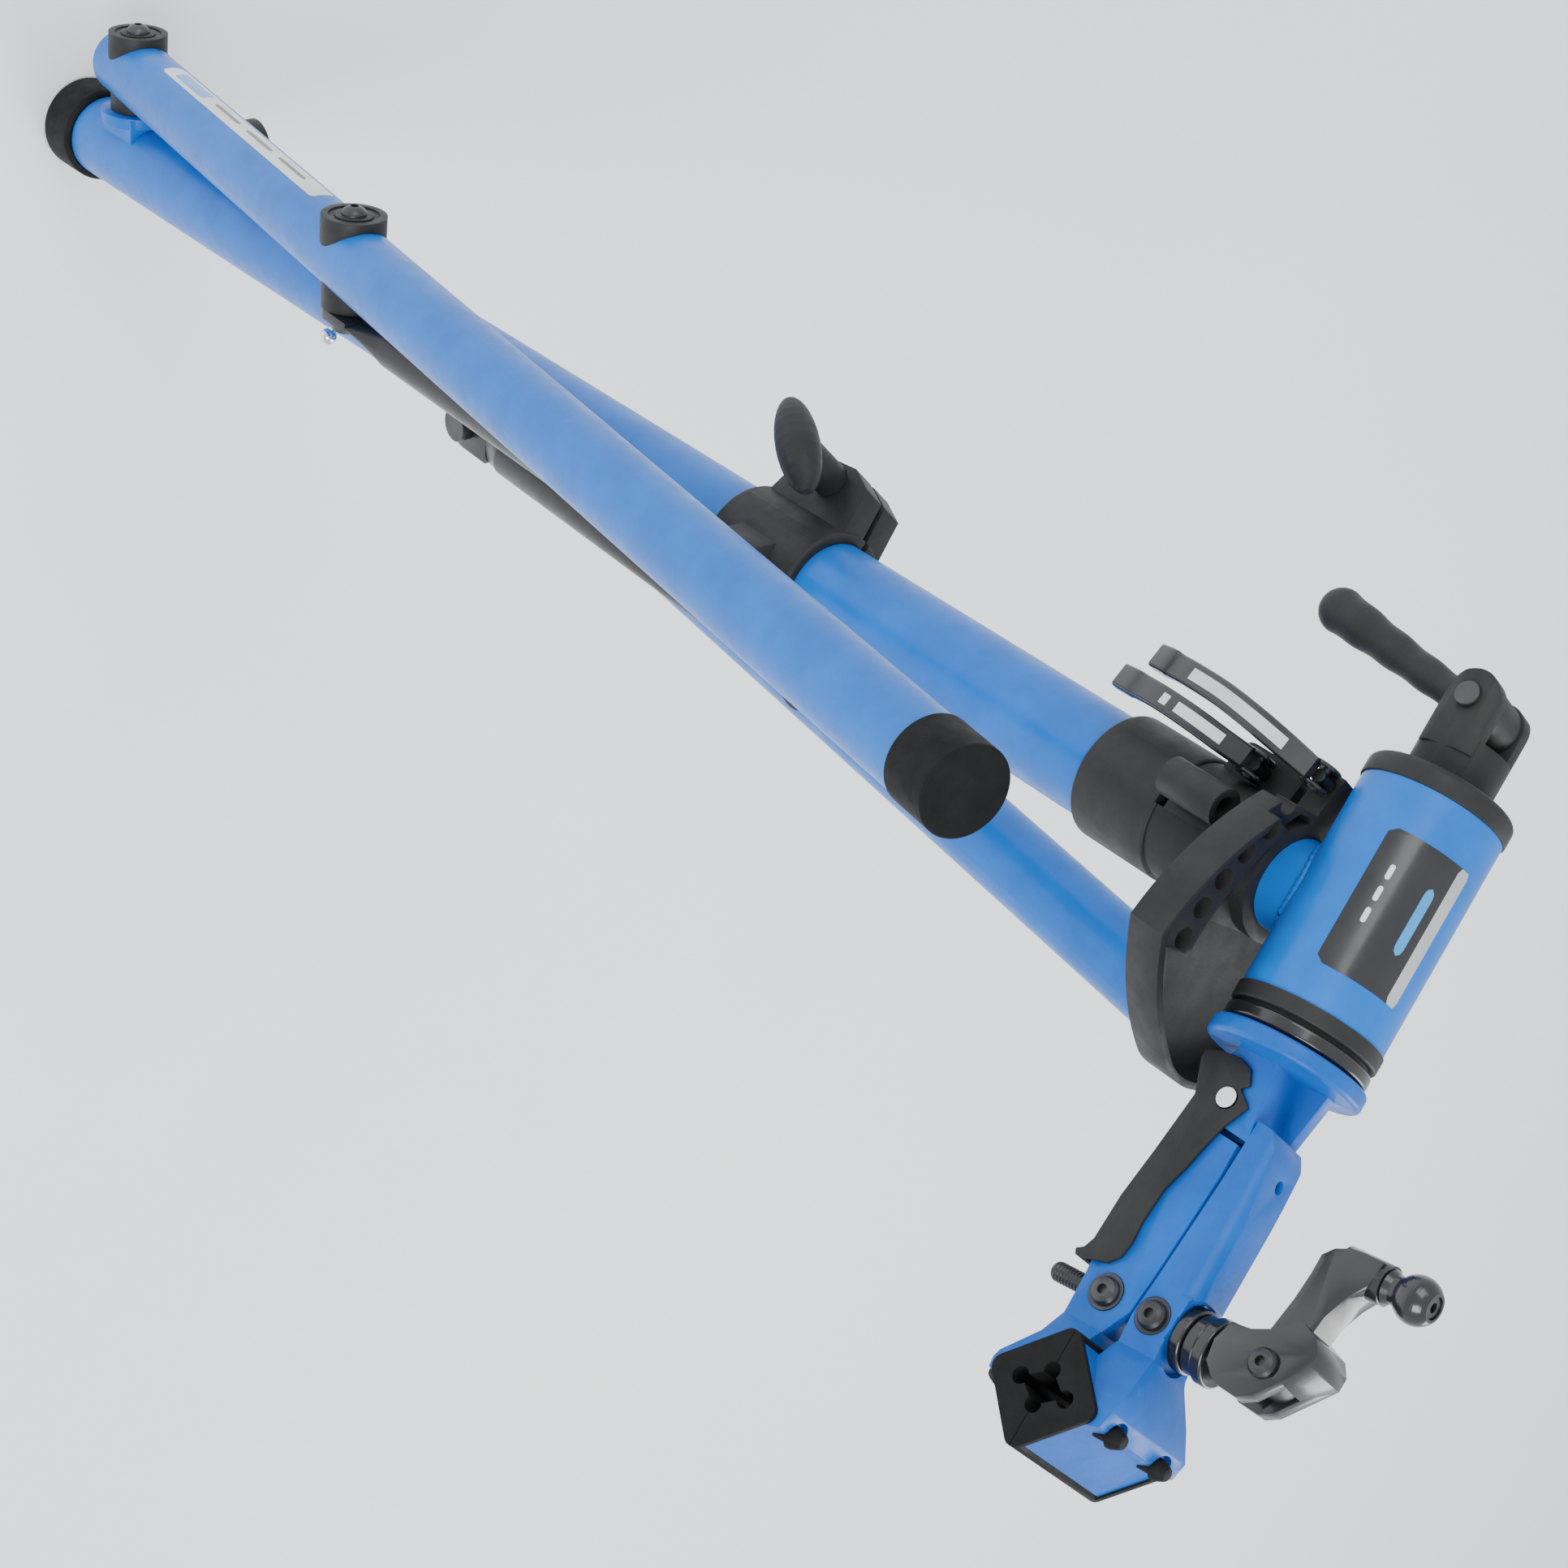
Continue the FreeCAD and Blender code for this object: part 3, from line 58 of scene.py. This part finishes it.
random.seed(7)
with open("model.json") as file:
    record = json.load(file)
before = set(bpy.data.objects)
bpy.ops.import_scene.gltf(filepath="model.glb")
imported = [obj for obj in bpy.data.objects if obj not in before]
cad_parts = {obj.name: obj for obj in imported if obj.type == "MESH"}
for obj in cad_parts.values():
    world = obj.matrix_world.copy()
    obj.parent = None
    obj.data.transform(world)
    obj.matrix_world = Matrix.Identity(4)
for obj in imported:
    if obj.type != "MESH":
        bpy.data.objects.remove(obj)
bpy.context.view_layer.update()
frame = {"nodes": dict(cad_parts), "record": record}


# ---------------------------------------------------------------- places

def at(side, front, up):
    return Vector((-side, -front, up)) * MM


def head(side, along, rise):
    """Point in the tipped head, from its distance aside, along the barrel and square to it."""
    y = -along * math.cos(HEAD_TILT) + rise * math.sin(HEAD_TILT)
    z = along * math.sin(HEAD_TILT) + rise * math.cos(HEAD_TILT)
    return Vector((-side, y, HEAD_UP + z)) * MM


def leg_point(hand, out, across, along):
    """Point on a folded leg: out from the mast, across the folding plane, along the tube."""
    y = LEG_PIVOT[1] + along * math.sin(LEG_FOLD) + across * math.cos(LEG_FOLD)
    z = LEG_PIVOT[2] + along * math.cos(LEG_FOLD) - across * math.sin(LEG_FOLD)
    x, y = -out, -y
    turned_x = x * math.cos(LEG_SPREAD) + y * math.sin(LEG_SPREAD)
    turned_y = -x * math.sin(LEG_SPREAD) + y * math.cos(LEG_SPREAD)
    return Vector((hand * turned_x, turned_y, z)) * MM


# ---------------------------------------------------------------- materials

class Shade:
    """Small helper that builds one procedural material."""

    def __init__(self, name):
        self.mat = bpy.data.materials.new(name)
        self.mat.use_nodes = True
        self.tree = self.mat.node_tree
        self.surface = self.tree.nodes["Principled BSDF"]
        self.place = self.tree.nodes.new("ShaderNodeTexCoord").outputs["Object"]

    def node(self, kind, **values):
        made = self.tree.nodes.new(kind)
        for key, value in values.items():
            setattr(made, key, value)
        return made

    def link(self, source, target):
        self.tree.links.new(source, target)

    def noise(self, scale, detail=4.0, roughness=0.55, stretch=None):
        made = self.node("ShaderNodeTexNoise")
        made.inputs["Scale"].default_value = scale
        made.inputs["Detail"].default_value = detail
        made.inputs["Roughness"].default_value = roughness
        place = self.place
        if stretch:
            mapping = self.node("ShaderNodeMapping")
            mapping.inputs["Scale"].default_value = stretch
            self.link(place, mapping.inputs["Vector"])
            place = mapping.outputs["Vector"]
        self.link(place, made.inputs["Vector"])
        return made.outputs["Fac"]

    def spread(self, value, from_low, from_high, to_low, to_high):
        made = self.node("ShaderNodeMapRange")
        made.inputs["From Min"].default_value = from_low
        made.inputs["From Max"].default_value = from_high
        made.inputs["To Min"].default_value = to_low
        made.inputs["To Max"].default_value = to_high
        self.link(value, made.inputs["Value"])
        return made.outputs["Result"]

    def blend(self, factor, first, second):
        made = self.node("ShaderNodeMix", data_type="RGBA")
        for socket, value in ((6, first), (7, second)):
            if isinstance(value, tuple):
                made.inputs[socket].default_value = (*value, 1.0)
            else:
                self.link(value, made.inputs[socket])
        self.link(factor, made.inputs[0])
        return made.outputs[2]

    def bump(self, layers):
        """Stack of (height, distance in metres, strength) bumps."""
        normal = None
        for height, distance, strength in layers:
            made = self.node("ShaderNodeBump")
            made.inputs["Distance"].default_value = distance
            made.inputs["Strength"].default_value = strength
            self.link(height, made.inputs["Height"])
            if normal:
                self.link(normal, made.inputs["Normal"])
            normal = made.outputs["Normal"]
        self.link(normal, self.surface.inputs["Normal"])

    def color(self, source):
        self.link(source, self.surface.inputs["Base Color"])

    def rough(self, source):
        self.link(source, self.surface.inputs["Roughness"])

    def set(self, **values):
        for key, value in values.items():
            self.surface.inputs[key.replace("_", " ")].default_value = value


def finish_material(name, deep, light, grain, grain_depth, rough, metallic=0.0, coat=0.0,
                    scuff=None, wear_scale=38.0, ripple=None, specular=0.5):
    """Layered finish: broad tone drift, fine grain, soft ripple and thin rubbed marks."""
    s = Shade(name)
    drift = s.noise(wear_scale, 5.0, 0.6)
    tone = s.blend(s.spread(drift, 0.35, 0.68, 0.0, 1.0), deep, light)
    if scuff:
        marks = s.noise(260.0, 3.0, 0.7, stretch=(1.0, 0.35, 0.12))
        patches = s.noise(21.0, 3.0, 0.6)
        rubbed = s.node("ShaderNodeMath", operation="MULTIPLY")
        s.link(s.spread(marks, 0.62, 0.72, 0.0, 1.0), rubbed.inputs[0])
        s.link(s.spread(patches, 0.55, 0.7, 0.0, 0.5), rubbed.inputs[1])
        tone = s.blend(rubbed.outputs[0], tone, scuff)
    s.color(tone)
    s.rough(s.spread(s.noise(wear_scale * 3.1, 4.0), 0.3, 0.7, rough[0], rough[1]))
    fine = s.noise(grain, 3.0, 0.6)
    layers = [(fine, grain_depth, 0.55)]
    if ripple:
        layers.append((s.noise(ripple, 2.0, 0.4), grain_depth * 2.0, 0.35))
    s.bump(layers)
    s.set(Metallic=metallic, Specular_IOR_Level=specular)
    if coat:
        s.surface.inputs["Coat Weight"].default_value = coat
        s.surface.inputs["Coat Roughness"].default_value = 0.12
    return s.mat


BLUE = finish_material("blue_powder_coat", (0.0, 0.120, 0.48), (0.001, 0.148, 0.57), 1500.0,
                       0.00004, (0.32, 0.44), coat=0.06, scuff=(0.015, 0.19, 0.62), ripple=420.0,
                       specular=0.25)
CAST = finish_material("blue_cast_coat", (0.0, 0.085, 0.39), (0.001, 0.108, 0.47), 900.0,
                       0.00010, (0.34, 0.48), coat=0.05, scuff=(0.015, 0.16, 0.55), ripple=260.0,
                       specular=0.25)
BLACK_PAINT = finish_material("black_satin_paint", (0.008, 0.008, 0.009), (0.014, 0.014, 0.015),
                              1700.0, 0.00003, (0.32, 0.44), coat=0.08,
                              scuff=(0.04, 0.04, 0.04), ripple=480.0, specular=0.35)
COMPOSITE = finish_material("black_composite", (0.013, 0.013, 0.013), (0.021, 0.0205, 0.020), 2300.0,
                            0.00007, (0.48, 0.62), scuff=(0.05, 0.05, 0.048), ripple=600.0,
                            specular=0.3)
GLOSS = finish_material("gloss_black", (0.008, 0.008, 0.009), (0.014, 0.014, 0.015), 1800.0,
                        0.00002, (0.16, 0.28), coat=0.35, scuff=(0.05, 0.05, 0.05))
RUBBER = finish_material("black_rubber", (0.004, 0.004, 0.004), (0.008, 0.008, 0.0078), 2600.0,
                         0.00006, (0.62, 0.80), scuff=(0.025, 0.025, 0.024), ripple=700.0,
                         specular=0.2)
CHROME = finish_material("chrome", (0.72, 0.73, 0.74), (0.82, 0.83, 0.84), 2400.0,
                         0.00001, (0.06, 0.16), metallic=1.0)
OXIDE = finish_material("black_oxide_steel", (0.050, 0.050, 0.052), (0.085, 0.085, 0.088), 2000.0,
                        0.00003, (0.30, 0.46), metallic=0.85, scuff=(0.22, 0.22, 0.22))
LABEL_DARK = finish_material("label_dark", (0.010, 0.010, 0.011), (0.016, 0.016, 0.018), 2800.0,
                             0.00001, (0.18, 0.27), coat=0.4)
LABEL_GREY = finish_material("label_grey", (0.34, 0.35, 0.36), (0.42, 0.43, 0.44), 2800.0,
                             0.00001, (0.2, 0.3), coat=0.4)
LABEL_WHITE = finish_material("label_white", (0.62, 0.63, 0.64), (0.74, 0.75, 0.76), 2800.0,
                              0.00001, (0.3, 0.42), coat=0.2)
LABEL_BLUE = finish_material("label_blue", (0.02, 0.25, 0.60), (0.03, 0.30, 0.68), 2800.0,
                             0.00001, (0.2, 0.3), coat=0.3)
PRINT = finish_material("lever_print", (0.50, 0.51, 0.52), (0.66, 0.67, 0.68), 2800.0,
                        0.00001, (0.35, 0.5))

SLOT_MATERIAL = {"blue_paint": BLUE, "black_composite": COMPOSITE, "gloss_black": GLOSS,
                 "black_rubber": RUBBER, "chrome": CHROME, "steel_dark": OXIDE,
                 "black_paint": BLACK_PAINT}
NODE_SLOT = {p["node"]: p["material_slot"] for p in frame["record"]["subparts"]}
NODE_BODY = {n: b for b, nodes in frame["record"]["behaviour"]["bodies"].items() for n in nodes}


# ---------------------------------------------------------------- mesh helpers

def new_piece(name, mesh_data, material, body, replaces=None, crease=32.0):
    """Object from a bmesh, shaded smooth below the crease angle, riding on a body."""
    mesh = bpy.data.meshes.new(name)
    bmesh.ops.recalc_face_normals(mesh_data, faces=mesh_data.faces)
    mesh_data.to_mesh(mesh)
    mesh_data.free()
    for face in mesh.polygons:
        face.use_smooth = True
    mesh.set_sharp_from_angle(angle=math.radians(crease))
    obj = bpy.data.objects.new(name, mesh)
    bpy.context.scene.collection.objects.link(obj)
    mesh.materials.append(material)
    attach(obj, body)
    if replaces:
        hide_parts(replaces)
    return obj


def bevelled(source, width, segments=2, angle=38.0):
    """bmesh of a mesh with its sharp edges rounded."""
    holder = bpy.data.objects.new("bevel_source", source)
    bpy.context.scene.collection.objects.link(holder)
    bevel = holder.modifiers.new("edge", "BEVEL")
    bevel.width = width
    bevel.segments = segments
    bevel.limit_method = "ANGLE"
    bevel.angle_limit = math.radians(angle)
    bevel.use_clamp_overlap = True
    bevel.miter_outer = "MITER_ARC"
    evaluated = holder.evaluated_get(bpy.context.evaluated_depsgraph_get())
    result = bmesh.new()
    result.from_mesh(evaluated.to_mesh())
    evaluated.to_mesh_clear()
    bpy.data.objects.remove(holder)
    bpy.data.meshes.remove(source)
    return result


def softened(node, width, material=None):
    """Copy of a CAD node with its edges rounded, standing in for the node."""
    work = bmesh.new()
    work.from_mesh(frame["nodes"][node].data)
    bmesh.ops.remove_doubles(work, verts=work.verts, dist=1e-6)
    bmesh.ops.dissolve_limit(work, angle_limit=math.radians(0.8), verts=work.verts,
                             edges=work.edges, delimit=set())
    source = bpy.data.meshes.new("work")
    work.to_mesh(source)
    work.free()
    slot = NODE_SLOT[node]
    return new_piece(node + ".soft", bevelled(source, width * MM), material or SLOT_MATERIAL[slot],
                     NODE_BODY[node], node)


for name, obj in frame["nodes"].items():
    obj.data.materials.clear()
    obj.data.materials.append(SLOT_MATERIAL[NODE_SLOT[name]])
SOFT = {"foot_cap": 1.2, "mast_sleeve": 0.8, "tool_tray": 0.8, "sliding_collar": 0.9,
        "tightening_yoke": 1.2, "fixed_jaw": 1.1, "moving_jaw": 0.9, "moving_jaw_cover": 0.6,
        "crank": 1.6, "barrel_rear_cap": 0.6,
        "fixed_jaw_pad": 0.6, "moving_jaw_pad": 0.6, "leg_1_saddles": 0.7, "leg_2_saddles": 0.7,
        "leg_1_ear": 0.8, "leg_2_ear": 0.8, "strut_1": 0.4, "strut_2": 0.4, "collar_nut": 0.4,
        "yoke_pin": 0.6}
for name, width in SOFT.items():
    softened(name, width, CAST if name in ("fixed_jaw", "moving_jaw") else None)


# ---------------------------------------------------------------- labels

def patch(point, rows, columns):
    """Grid of points from a function of two numbers between 0 and 1."""
    work = bmesh.new()
    grid = [[work.verts.new(point(i / rows, j / columns)) for j in range(columns + 1)]
            for i in range(rows + 1)]
    for i in range(rows):
        for j in range(columns):
            work.faces.new((grid[i][j], grid[i][j + 1], grid[i + 1][j + 1], grid[i + 1][j]))
    return work


def on_barrel(lift):
    """Point on the barrel from a place along it and a turn (degrees) from the top towards side."""
    def point(along, turn):
        r = BARREL_RADIUS + lift
        return head(r * math.sin(math.radians(turn)), along, r * math.cos(math.radians(turn)))
    return point


def rounded_patch(surface, low, high, corner, name, material, body, rows=24, columns=24):
    """Label with rounded corners, wrapped on a surface given by (first, second) coordinates."""
    (u0, v0), (u1, v1) = low, high

    def point(i, j):
        u = u0 + (u1 - u0) * i
        edge = min(u - u0, u1 - u)
        inset = 0.0
        if edge < corner[0]:
            part = 1.0 - edge / corner[0]
            inset = corner[1] * (1.0 - math.sqrt(max(0.0, 1.0 - part * part)))
        return surface(u, v0 + inset + (v1 - v0 - 2 * inset) * j)
    work = patch(point, rows, columns)
    return new_piece(name, work, material, body)


def barrel_label():
    body = "head"
    dark, light, fine = [on_barrel(lift) for lift in LABEL_LIFTS]
    rounded_patch(dark, (-33, 5), (24, 78), (3, 6), "barrel_label", LABEL_DARK, body)
    rounded_patch(light, (-33, 5.2), (24, 17), (1, 2), "barrel_label_edge", LABEL_GREY, body)
    rounded_patch(light, (-20, 25), (8, 33), (4, 4), "barrel_label_bar", LABEL_BLUE, body)
    for index, start in enumerate((-20, -11, -2)):
        rounded_patch(fine, (start, 60), (start + 6, 64), (1.0, 1.0), "barrel_label_dash_%d" % index,
                      LABEL_WHITE, body, 8, 6)


barrel_label()


# ---------------------------------------------------------------- cam levers

def smooth_path(points, steps):
    """Catmull-Rom curve through tuples of numbers."""
    ends = [points[0]] + list(points) + [points[-1]]
    path = []
    for k in range(len(points) - 1):
        p0, p1, p2, p3 = ends[k:k + 4]
        for i in range(steps):
            t = i / steps
            path.append(tuple(0.5 * (2 * b + (c - a) * t + (2 * a - 5 * b + 4 * c - d) * t ** 2
                                     + (3 * b - a - 3 * c + d) * t ** 3)
                              for a, b, c, d in zip(p0, p1, p2, p3)))
    path.append(tuple(points[-1]))
    return path


def rounded_section(width, thick, corner, steps=4):
    """Rounded rectangle as (across, through) pairs."""
    ring = []
    for cx, cy, start in ((1, 1, 0), (-1, 1, 90), (-1, -1, 180), (1, -1, 270)):
        for i in range(steps + 1):
            turn = math.radians(start + 90 * i / steps)
            ring.append((cx * (width / 2 - corner) + corner * math.cos(turn),
                         cy * (thick / 2 - corner) + corner * math.sin(turn)))
    return ring


def ribbon(stations, steps=10, corner=1.3):
    """Blade through stations (side, front, up, width, thickness); width runs front to back."""
    work = bmesh.new()
    loops = []
    path = smooth_path(stations, steps)
    for k, (side, front, up, width, thick) in enumerate(path):
        before, after = path[max(k - 1, 0)], path[min(k + 1, len(path) - 1)]
        run = Vector((after[0] - before[0], 0, after[2] - before[2])).normalized()
        out = Vector((-run.z, 0, run.x))
        loop = []
        for across, through in rounded_section(width, thick, min(corner, thick / 2.1)):
            loop.append(work.verts.new(at(side + out.x * through, front + across,
                                          up + out.z * through)))
        loops.append(loop)
    count = len(loops[0])
    for first, second in zip(loops, loops[1:]):
        for i in range(count):
            j = (i + 1) % count
            work.faces.new((first[i], first[j], second[j], second[i]))
    work.faces.new(loops[0])
    work.faces.new(list(reversed(loops[-1])))
    return work


def drum(work, radius, start, end, segments=40, rim=0.5):
    """Adds a cylinder with chamfered rims between two points (metres)."""
    axis = (end - start).normalized()
    across = axis.orthogonal().normalized()
    other = axis.cross(across)
    length = (end - start).length
    rim = rim * MM
    loops = []
    for place, r in ((0, radius * MM - rim), (rim, radius * MM), (length - rim, radius * MM),
                     (length, radius * MM - rim)):
        loops.append([work.verts.new(start + axis * place
                                     + across * (r * math.cos(2 * math.pi * i / segments))
                                     + other * (r * math.sin(2 * math.pi * i / segments)))
                      for i in range(segments)])
    for first, second in zip(loops, loops[1:]):
        for i in range(segments):
            j = (i + 1) % segments
            work.faces.new((first[i], first[j], second[j], second[i]))
    work.faces.new(loops[0])
    work.faces.new(list(reversed(loops[-1])))


def cam_lever(name, body, pivot, stations, print_stations):
    """Bowed blade with two cheeks round its cross pin, and a light strip on its outer face."""
    side, front, up = pivot
    work = ribbon(stations)
    for sign in (-1, 1):
        inner, outer = [at(side, front + face * sign, up) for face in LEVER_HUB_FACES]
        drum(work, LEVER_HUB_RADIUS, inner, outer)
        inner, outer = [at(side, front + face * sign, up) for face in LEVER_BOSS_FACES]
        drum(work, LEVER_BOSS_RADIUS, inner, outer, 24)
    new_piece(name + ".blade", work, GLOSS, body, name)
    bar = ribbon(print_stations, corner=0.2)
    new_piece(name + ".print", bar, PRINT, body)


def cam_levers():
    side, front, up = MAST_LEVER_PIVOT
    blade = [(side + 5.6, front, up - 1, 9.6, 4.0), (side + 8.0, front - 0.2, up - 12, 9.8, 4.6),
             (side + 12.2, front - 0.8, up - 28, 10.0, 4.0), (side + 13.2, front - 1.3, up - 44, 10.0, 4.0),
             (side + 11.2, front - 1.5, up - 57, 10.2, 4.4), (side + 10.2, front - 1.5, up - 62, 10.4, 6.6),
             (side + 8.6, front - 1.5, up - 70.5, 10.2, 5.6)]
    strip = [(s + t / 2, f, u, 4.6, 0.3) for s, f, u, w, t in blade[1:4]]
    cam_lever("mast_lever", "mast_lever", (side, front, up), blade, strip)
    side, front, up = TRAY_LEVER_PIVOT
    blade = [(side + 5.6, front, up - 1, 9.6, 4.0), (side + 6.0, front - 2.2, up - 16, 10.2, 4.8),
             (side + 9.2, front - 4.4, up - 34, 10.5, 4.2), (side + 10.0, front - 6.2, up - 52, 10.5, 4.2),
             (side + 8.4, front - 7.0, up - 70, 10.5, 4.2), (side + 6.4, front - 7.2, up - 80, 10.6, 5.0),
             (side + 6.0, front - 7.2, up - 84, 10.8, 7.0), (side + 4.4, front - 7.2, up - 92, 10.4, 5.8)]
    strip = [(s + t / 2, f, u, 5.0, 0.3) for s, f, u, w, t in blade[1:5]]
    cam_lever("tray_lever", "tray_lever", (side, front, up), blade, strip)


cam_levers()


# ---------------------------------------------------------------- spindle thread

def tube_grid(rows, columns, point, close_ends=True):
    """Closed tube from a function of row number and column number."""
    work = bmesh.new()
    loops = [[work.verts.new(point(i, j)) for j in range(columns)] for i in range(rows + 1)]
    for first, second in zip(loops, loops[1:]):
        for i in range(columns):
            j = (i + 1) % columns
            work.faces.new((first[i], first[j], second[j], second[i]))
    if close_ends:
        work.faces.new(loops[0])
        work.faces.new(list(reversed(loops[-1])))
    return work


def spindle_thread():
    """Rod with a real 1.5 mm thread below the rings, chamfered at its end."""
    low, high = THREAD_ENDS
    pitch, along = THREAD_PITCH, SPINDLE_ALONG
    per_turn, columns = 6, 20
    rows = int((high - low) / pitch * per_turn)

    def point(i, j):
        rise = low + (high - low) * i / rows
        phase = (rise / pitch - j / columns) % 1.0
        r = THREAD_ROOT + THREAD_DEPTH * (1.0 - abs(2.0 * phase - 1.0))
        r = min(r, 2.9 + 0.8 * (rise - low))
        turn = 2 * math.pi * j / columns
        return head(r * math.sin(turn), along + r * math.cos(turn), rise)
    new_piece("clamp_spindle.thread", tube_grid(rows, columns, point), OXIDE, "spindle",
              "clamp_spindle", 60.0)


def prism(outline, half, width, point=head):
    """Bevelled plate from a closed outline of (along, rise) pairs."""
    work = bmesh.new()
    sides = [[work.verts.new(point(s, a, r)) for a, r in outline] for s in (-half, half)]
    count = len(outline)
    for i in range(count):
        j = (i + 1) % count
        work.faces.new((sides[0][i], sides[0][j], sides[1][j], sides[1][i]))
    work.faces.new(sides[0])
    work.faces.new(list(reversed(sides[1])))
    source = bpy.data.meshes.new("work")
    bmesh.ops.recalc_face_normals(work, faces=work.faces)
    work.to_mesh(source)
    work.free()
    return bevelled(source, width * MM, 3)


def spindle_eye():
    """Flat lug with a round top at the spindle's upper end, where the crank bolts on."""
    along, rise = CRANK_BOLT
    outline = [(along - 5, EYE_FOOT), (along + 7, EYE_FOOT), (along + EYE_RADIUS, rise)]
    outline += [(along + EYE_RADIUS * math.cos(math.radians(t)),
                 rise + EYE_RADIUS * math.sin(math.radians(t))) for t in range(15, 180, 15)]
    outline += [(along - EYE_RADIUS, rise)]
    new_piece("clamp_spindle.eye", prism(outline, 5.7, 0.8), OXIDE, "spindle",
              "clamp_spindle")


spindle_thread()
spindle_eye()


# ---------------------------------------------------------------- weld beads

def bead(name, centre, count, radius, body, material=CAST):
    """Rippled weld run along a closed curve given as a function of 0..1."""
    columns = 10

    def point(i, j):
        t = i / count
        here, ahead = centre(t), centre(t + 0.001)
        run = (ahead - here).normalized()
        up = run.orthogonal().normalized()
        across = run.cross(up)
        wave = 1.0 + 0.14 * math.sin(2 * math.pi * i / 4) + random.uniform(-0.03, 0.03)
        turn = 2 * math.pi * (j % columns) / columns
        return here + (up * math.cos(turn) + across * math.sin(turn)) * radius * wave * MM
    rings = [[point(i, j) for j in range(columns)] for i in range(count)]
    work = tube_grid(count, columns, lambda i, j: rings[i % count][j], False)
    bmesh.ops.remove_doubles(work, verts=work.verts, dist=1e-7)
    new_piece(name, work, material, body, None, 70.0)


def mast_to_barrel(t):
    """Closed curve where the round mast meets the tipped barrel."""
    turn = 2 * math.pi * t
    side, front = WELD_RADIUS * math.cos(turn), WELD_RADIUS * math.sin(turn)
    fall = -math.sqrt(WELD_DEPTH ** 2 - side ** 2)
    up = (fall + front * math.sin(HEAD_TILT)) / math.cos(HEAD_TILT)
    return at(side, front, HEAD_UP + up)


bead("mast_weld", mast_to_barrel, 150, 1.7, "head", BLUE)


# ---------------------------------------------------------------- leg labels

def on_leg(hand, lift):
    """Point on a leg tube from a distance along it and a turn (degrees) from straight out."""
    def point(along, turn):
        r = LEG_RADIUS + lift
        return leg_point(hand, LEG_PIVOT[0] + r * math.cos(math.radians(turn)),
                         r * math.sin(math.radians(turn)), along)
    return point


def leg_label():
    face, top = [on_leg(1, lift) for lift in LABEL_LIFTS[:2]]
    rounded_patch(face, (52, -24), (262, 16), (4, 4), "leg_label", LABEL_WHITE, "leg_1",
                  60, 12)
    rounded_patch(top, (64, -16), (104, 8), (3, 3), "leg_label_block", LABEL_BLUE, "leg_1",
                  16, 8)
    for index in range(3):
        start = 116 + 44 * index
        rounded_patch(top, (start, -8), (start + 34, 0), (2, 2), "leg_label_bar_%d" % index,
                      LABEL_DARK, "leg_1", 12, 6)


leg_label()


# ---------------------------------------------------------------- stage, light and camera

def flat_floor():
    """Plain pale floor, kept out of the part."""
    s = Shade("pale_floor")
    s.color(s.blend(s.spread(s.noise(1.3, 3.0), 0.3, 0.7, 0.0, 1.0), (0.95, 0.955, 0.96),
                    (0.97, 0.97, 0.975)))
    s.rough(s.spread(s.noise(9.0, 3.0), 0.3, 0.7, 0.55, 0.7))
    s.bump([(s.noise(120.0, 3.0), 0.0002, 0.2)])
    bpy.ops.mesh.primitive_plane_add(size=14.0, location=(0, 0, 0))
    floor = bpy.context.object
    floor.name = "floor"
    floor.data.materials.append(s.mat)


def area_light(name, place, target, size, power, tint=(1.0, 1.0, 1.0)):
    data = bpy.data.lights.new(name, "AREA")
    data.shape = "RECTANGLE"
    data.size, data.size_y = size
    data.energy = power
    data.color = tint
    obj = bpy.data.objects.new(name, data)
    bpy.context.scene.collection.objects.link(obj)
    obj.location = place
    obj.rotation_euler = (Vector(target) - Vector(place)).to_track_quat("-Z", "Y").to_euler()


def studio():
    """Even sky with three large soft lights."""
    world = bpy.data.worlds.new("studio")
    bpy.context.scene.world = world
    world.use_nodes = True
    sky = world.node_tree.nodes["Background"]
    sky.inputs["Color"].default_value = (0.92, 0.95, 1.0, 1.0)
    sky.inputs["Strength"].default_value = 1.1
    area_light("key", (-1.6, -1.9, 2.9), (0, 0, 0.8), (1.6, 1.6), 82.0)
    area_light("fill", (-2.2, 1.6, 2.0), (0, 0, 0.7), (1.8, 1.8), 36.0)
    area_light("rim", (1.9, -0.6, 2.2), (0, 0, 0.9), (1.2, 1.8), 40.0)


CAMERA_PLACE = (-1.0469, -0.1648, 1.7017)
CAMERA_RIGHT = (0.5058, 0.62013, 0.59967)
CAMERA_UP = (-0.45261, 0.78256, -0.42749)
CAMERA_BACK = (-0.73438, -0.05519, 0.67649)
CAMERA_SENSOR = 36.0
CAMERA_LENS = 78.13
CAMERA_SHIFT = (0.0084, 0.0077)


def photo_camera():
    data = bpy.data.cameras.new("camera")
    data.sensor_width = CAMERA_SENSOR
    data.lens = CAMERA_LENS
    data.shift_x, data.shift_y = CAMERA_SHIFT
    data.clip_start = 0.05
    obj = bpy.data.objects.new("camera", data)
    bpy.context.scene.collection.objects.link(obj)
    rows = [(CAMERA_RIGHT[i], CAMERA_UP[i], CAMERA_BACK[i], CAMERA_PLACE[i]) for i in range(3)]
    obj.matrix_world = Matrix((*rows, (0, 0, 0, 1)))
    bpy.context.scene.camera = obj


flat_floor()
studio()
photo_camera()
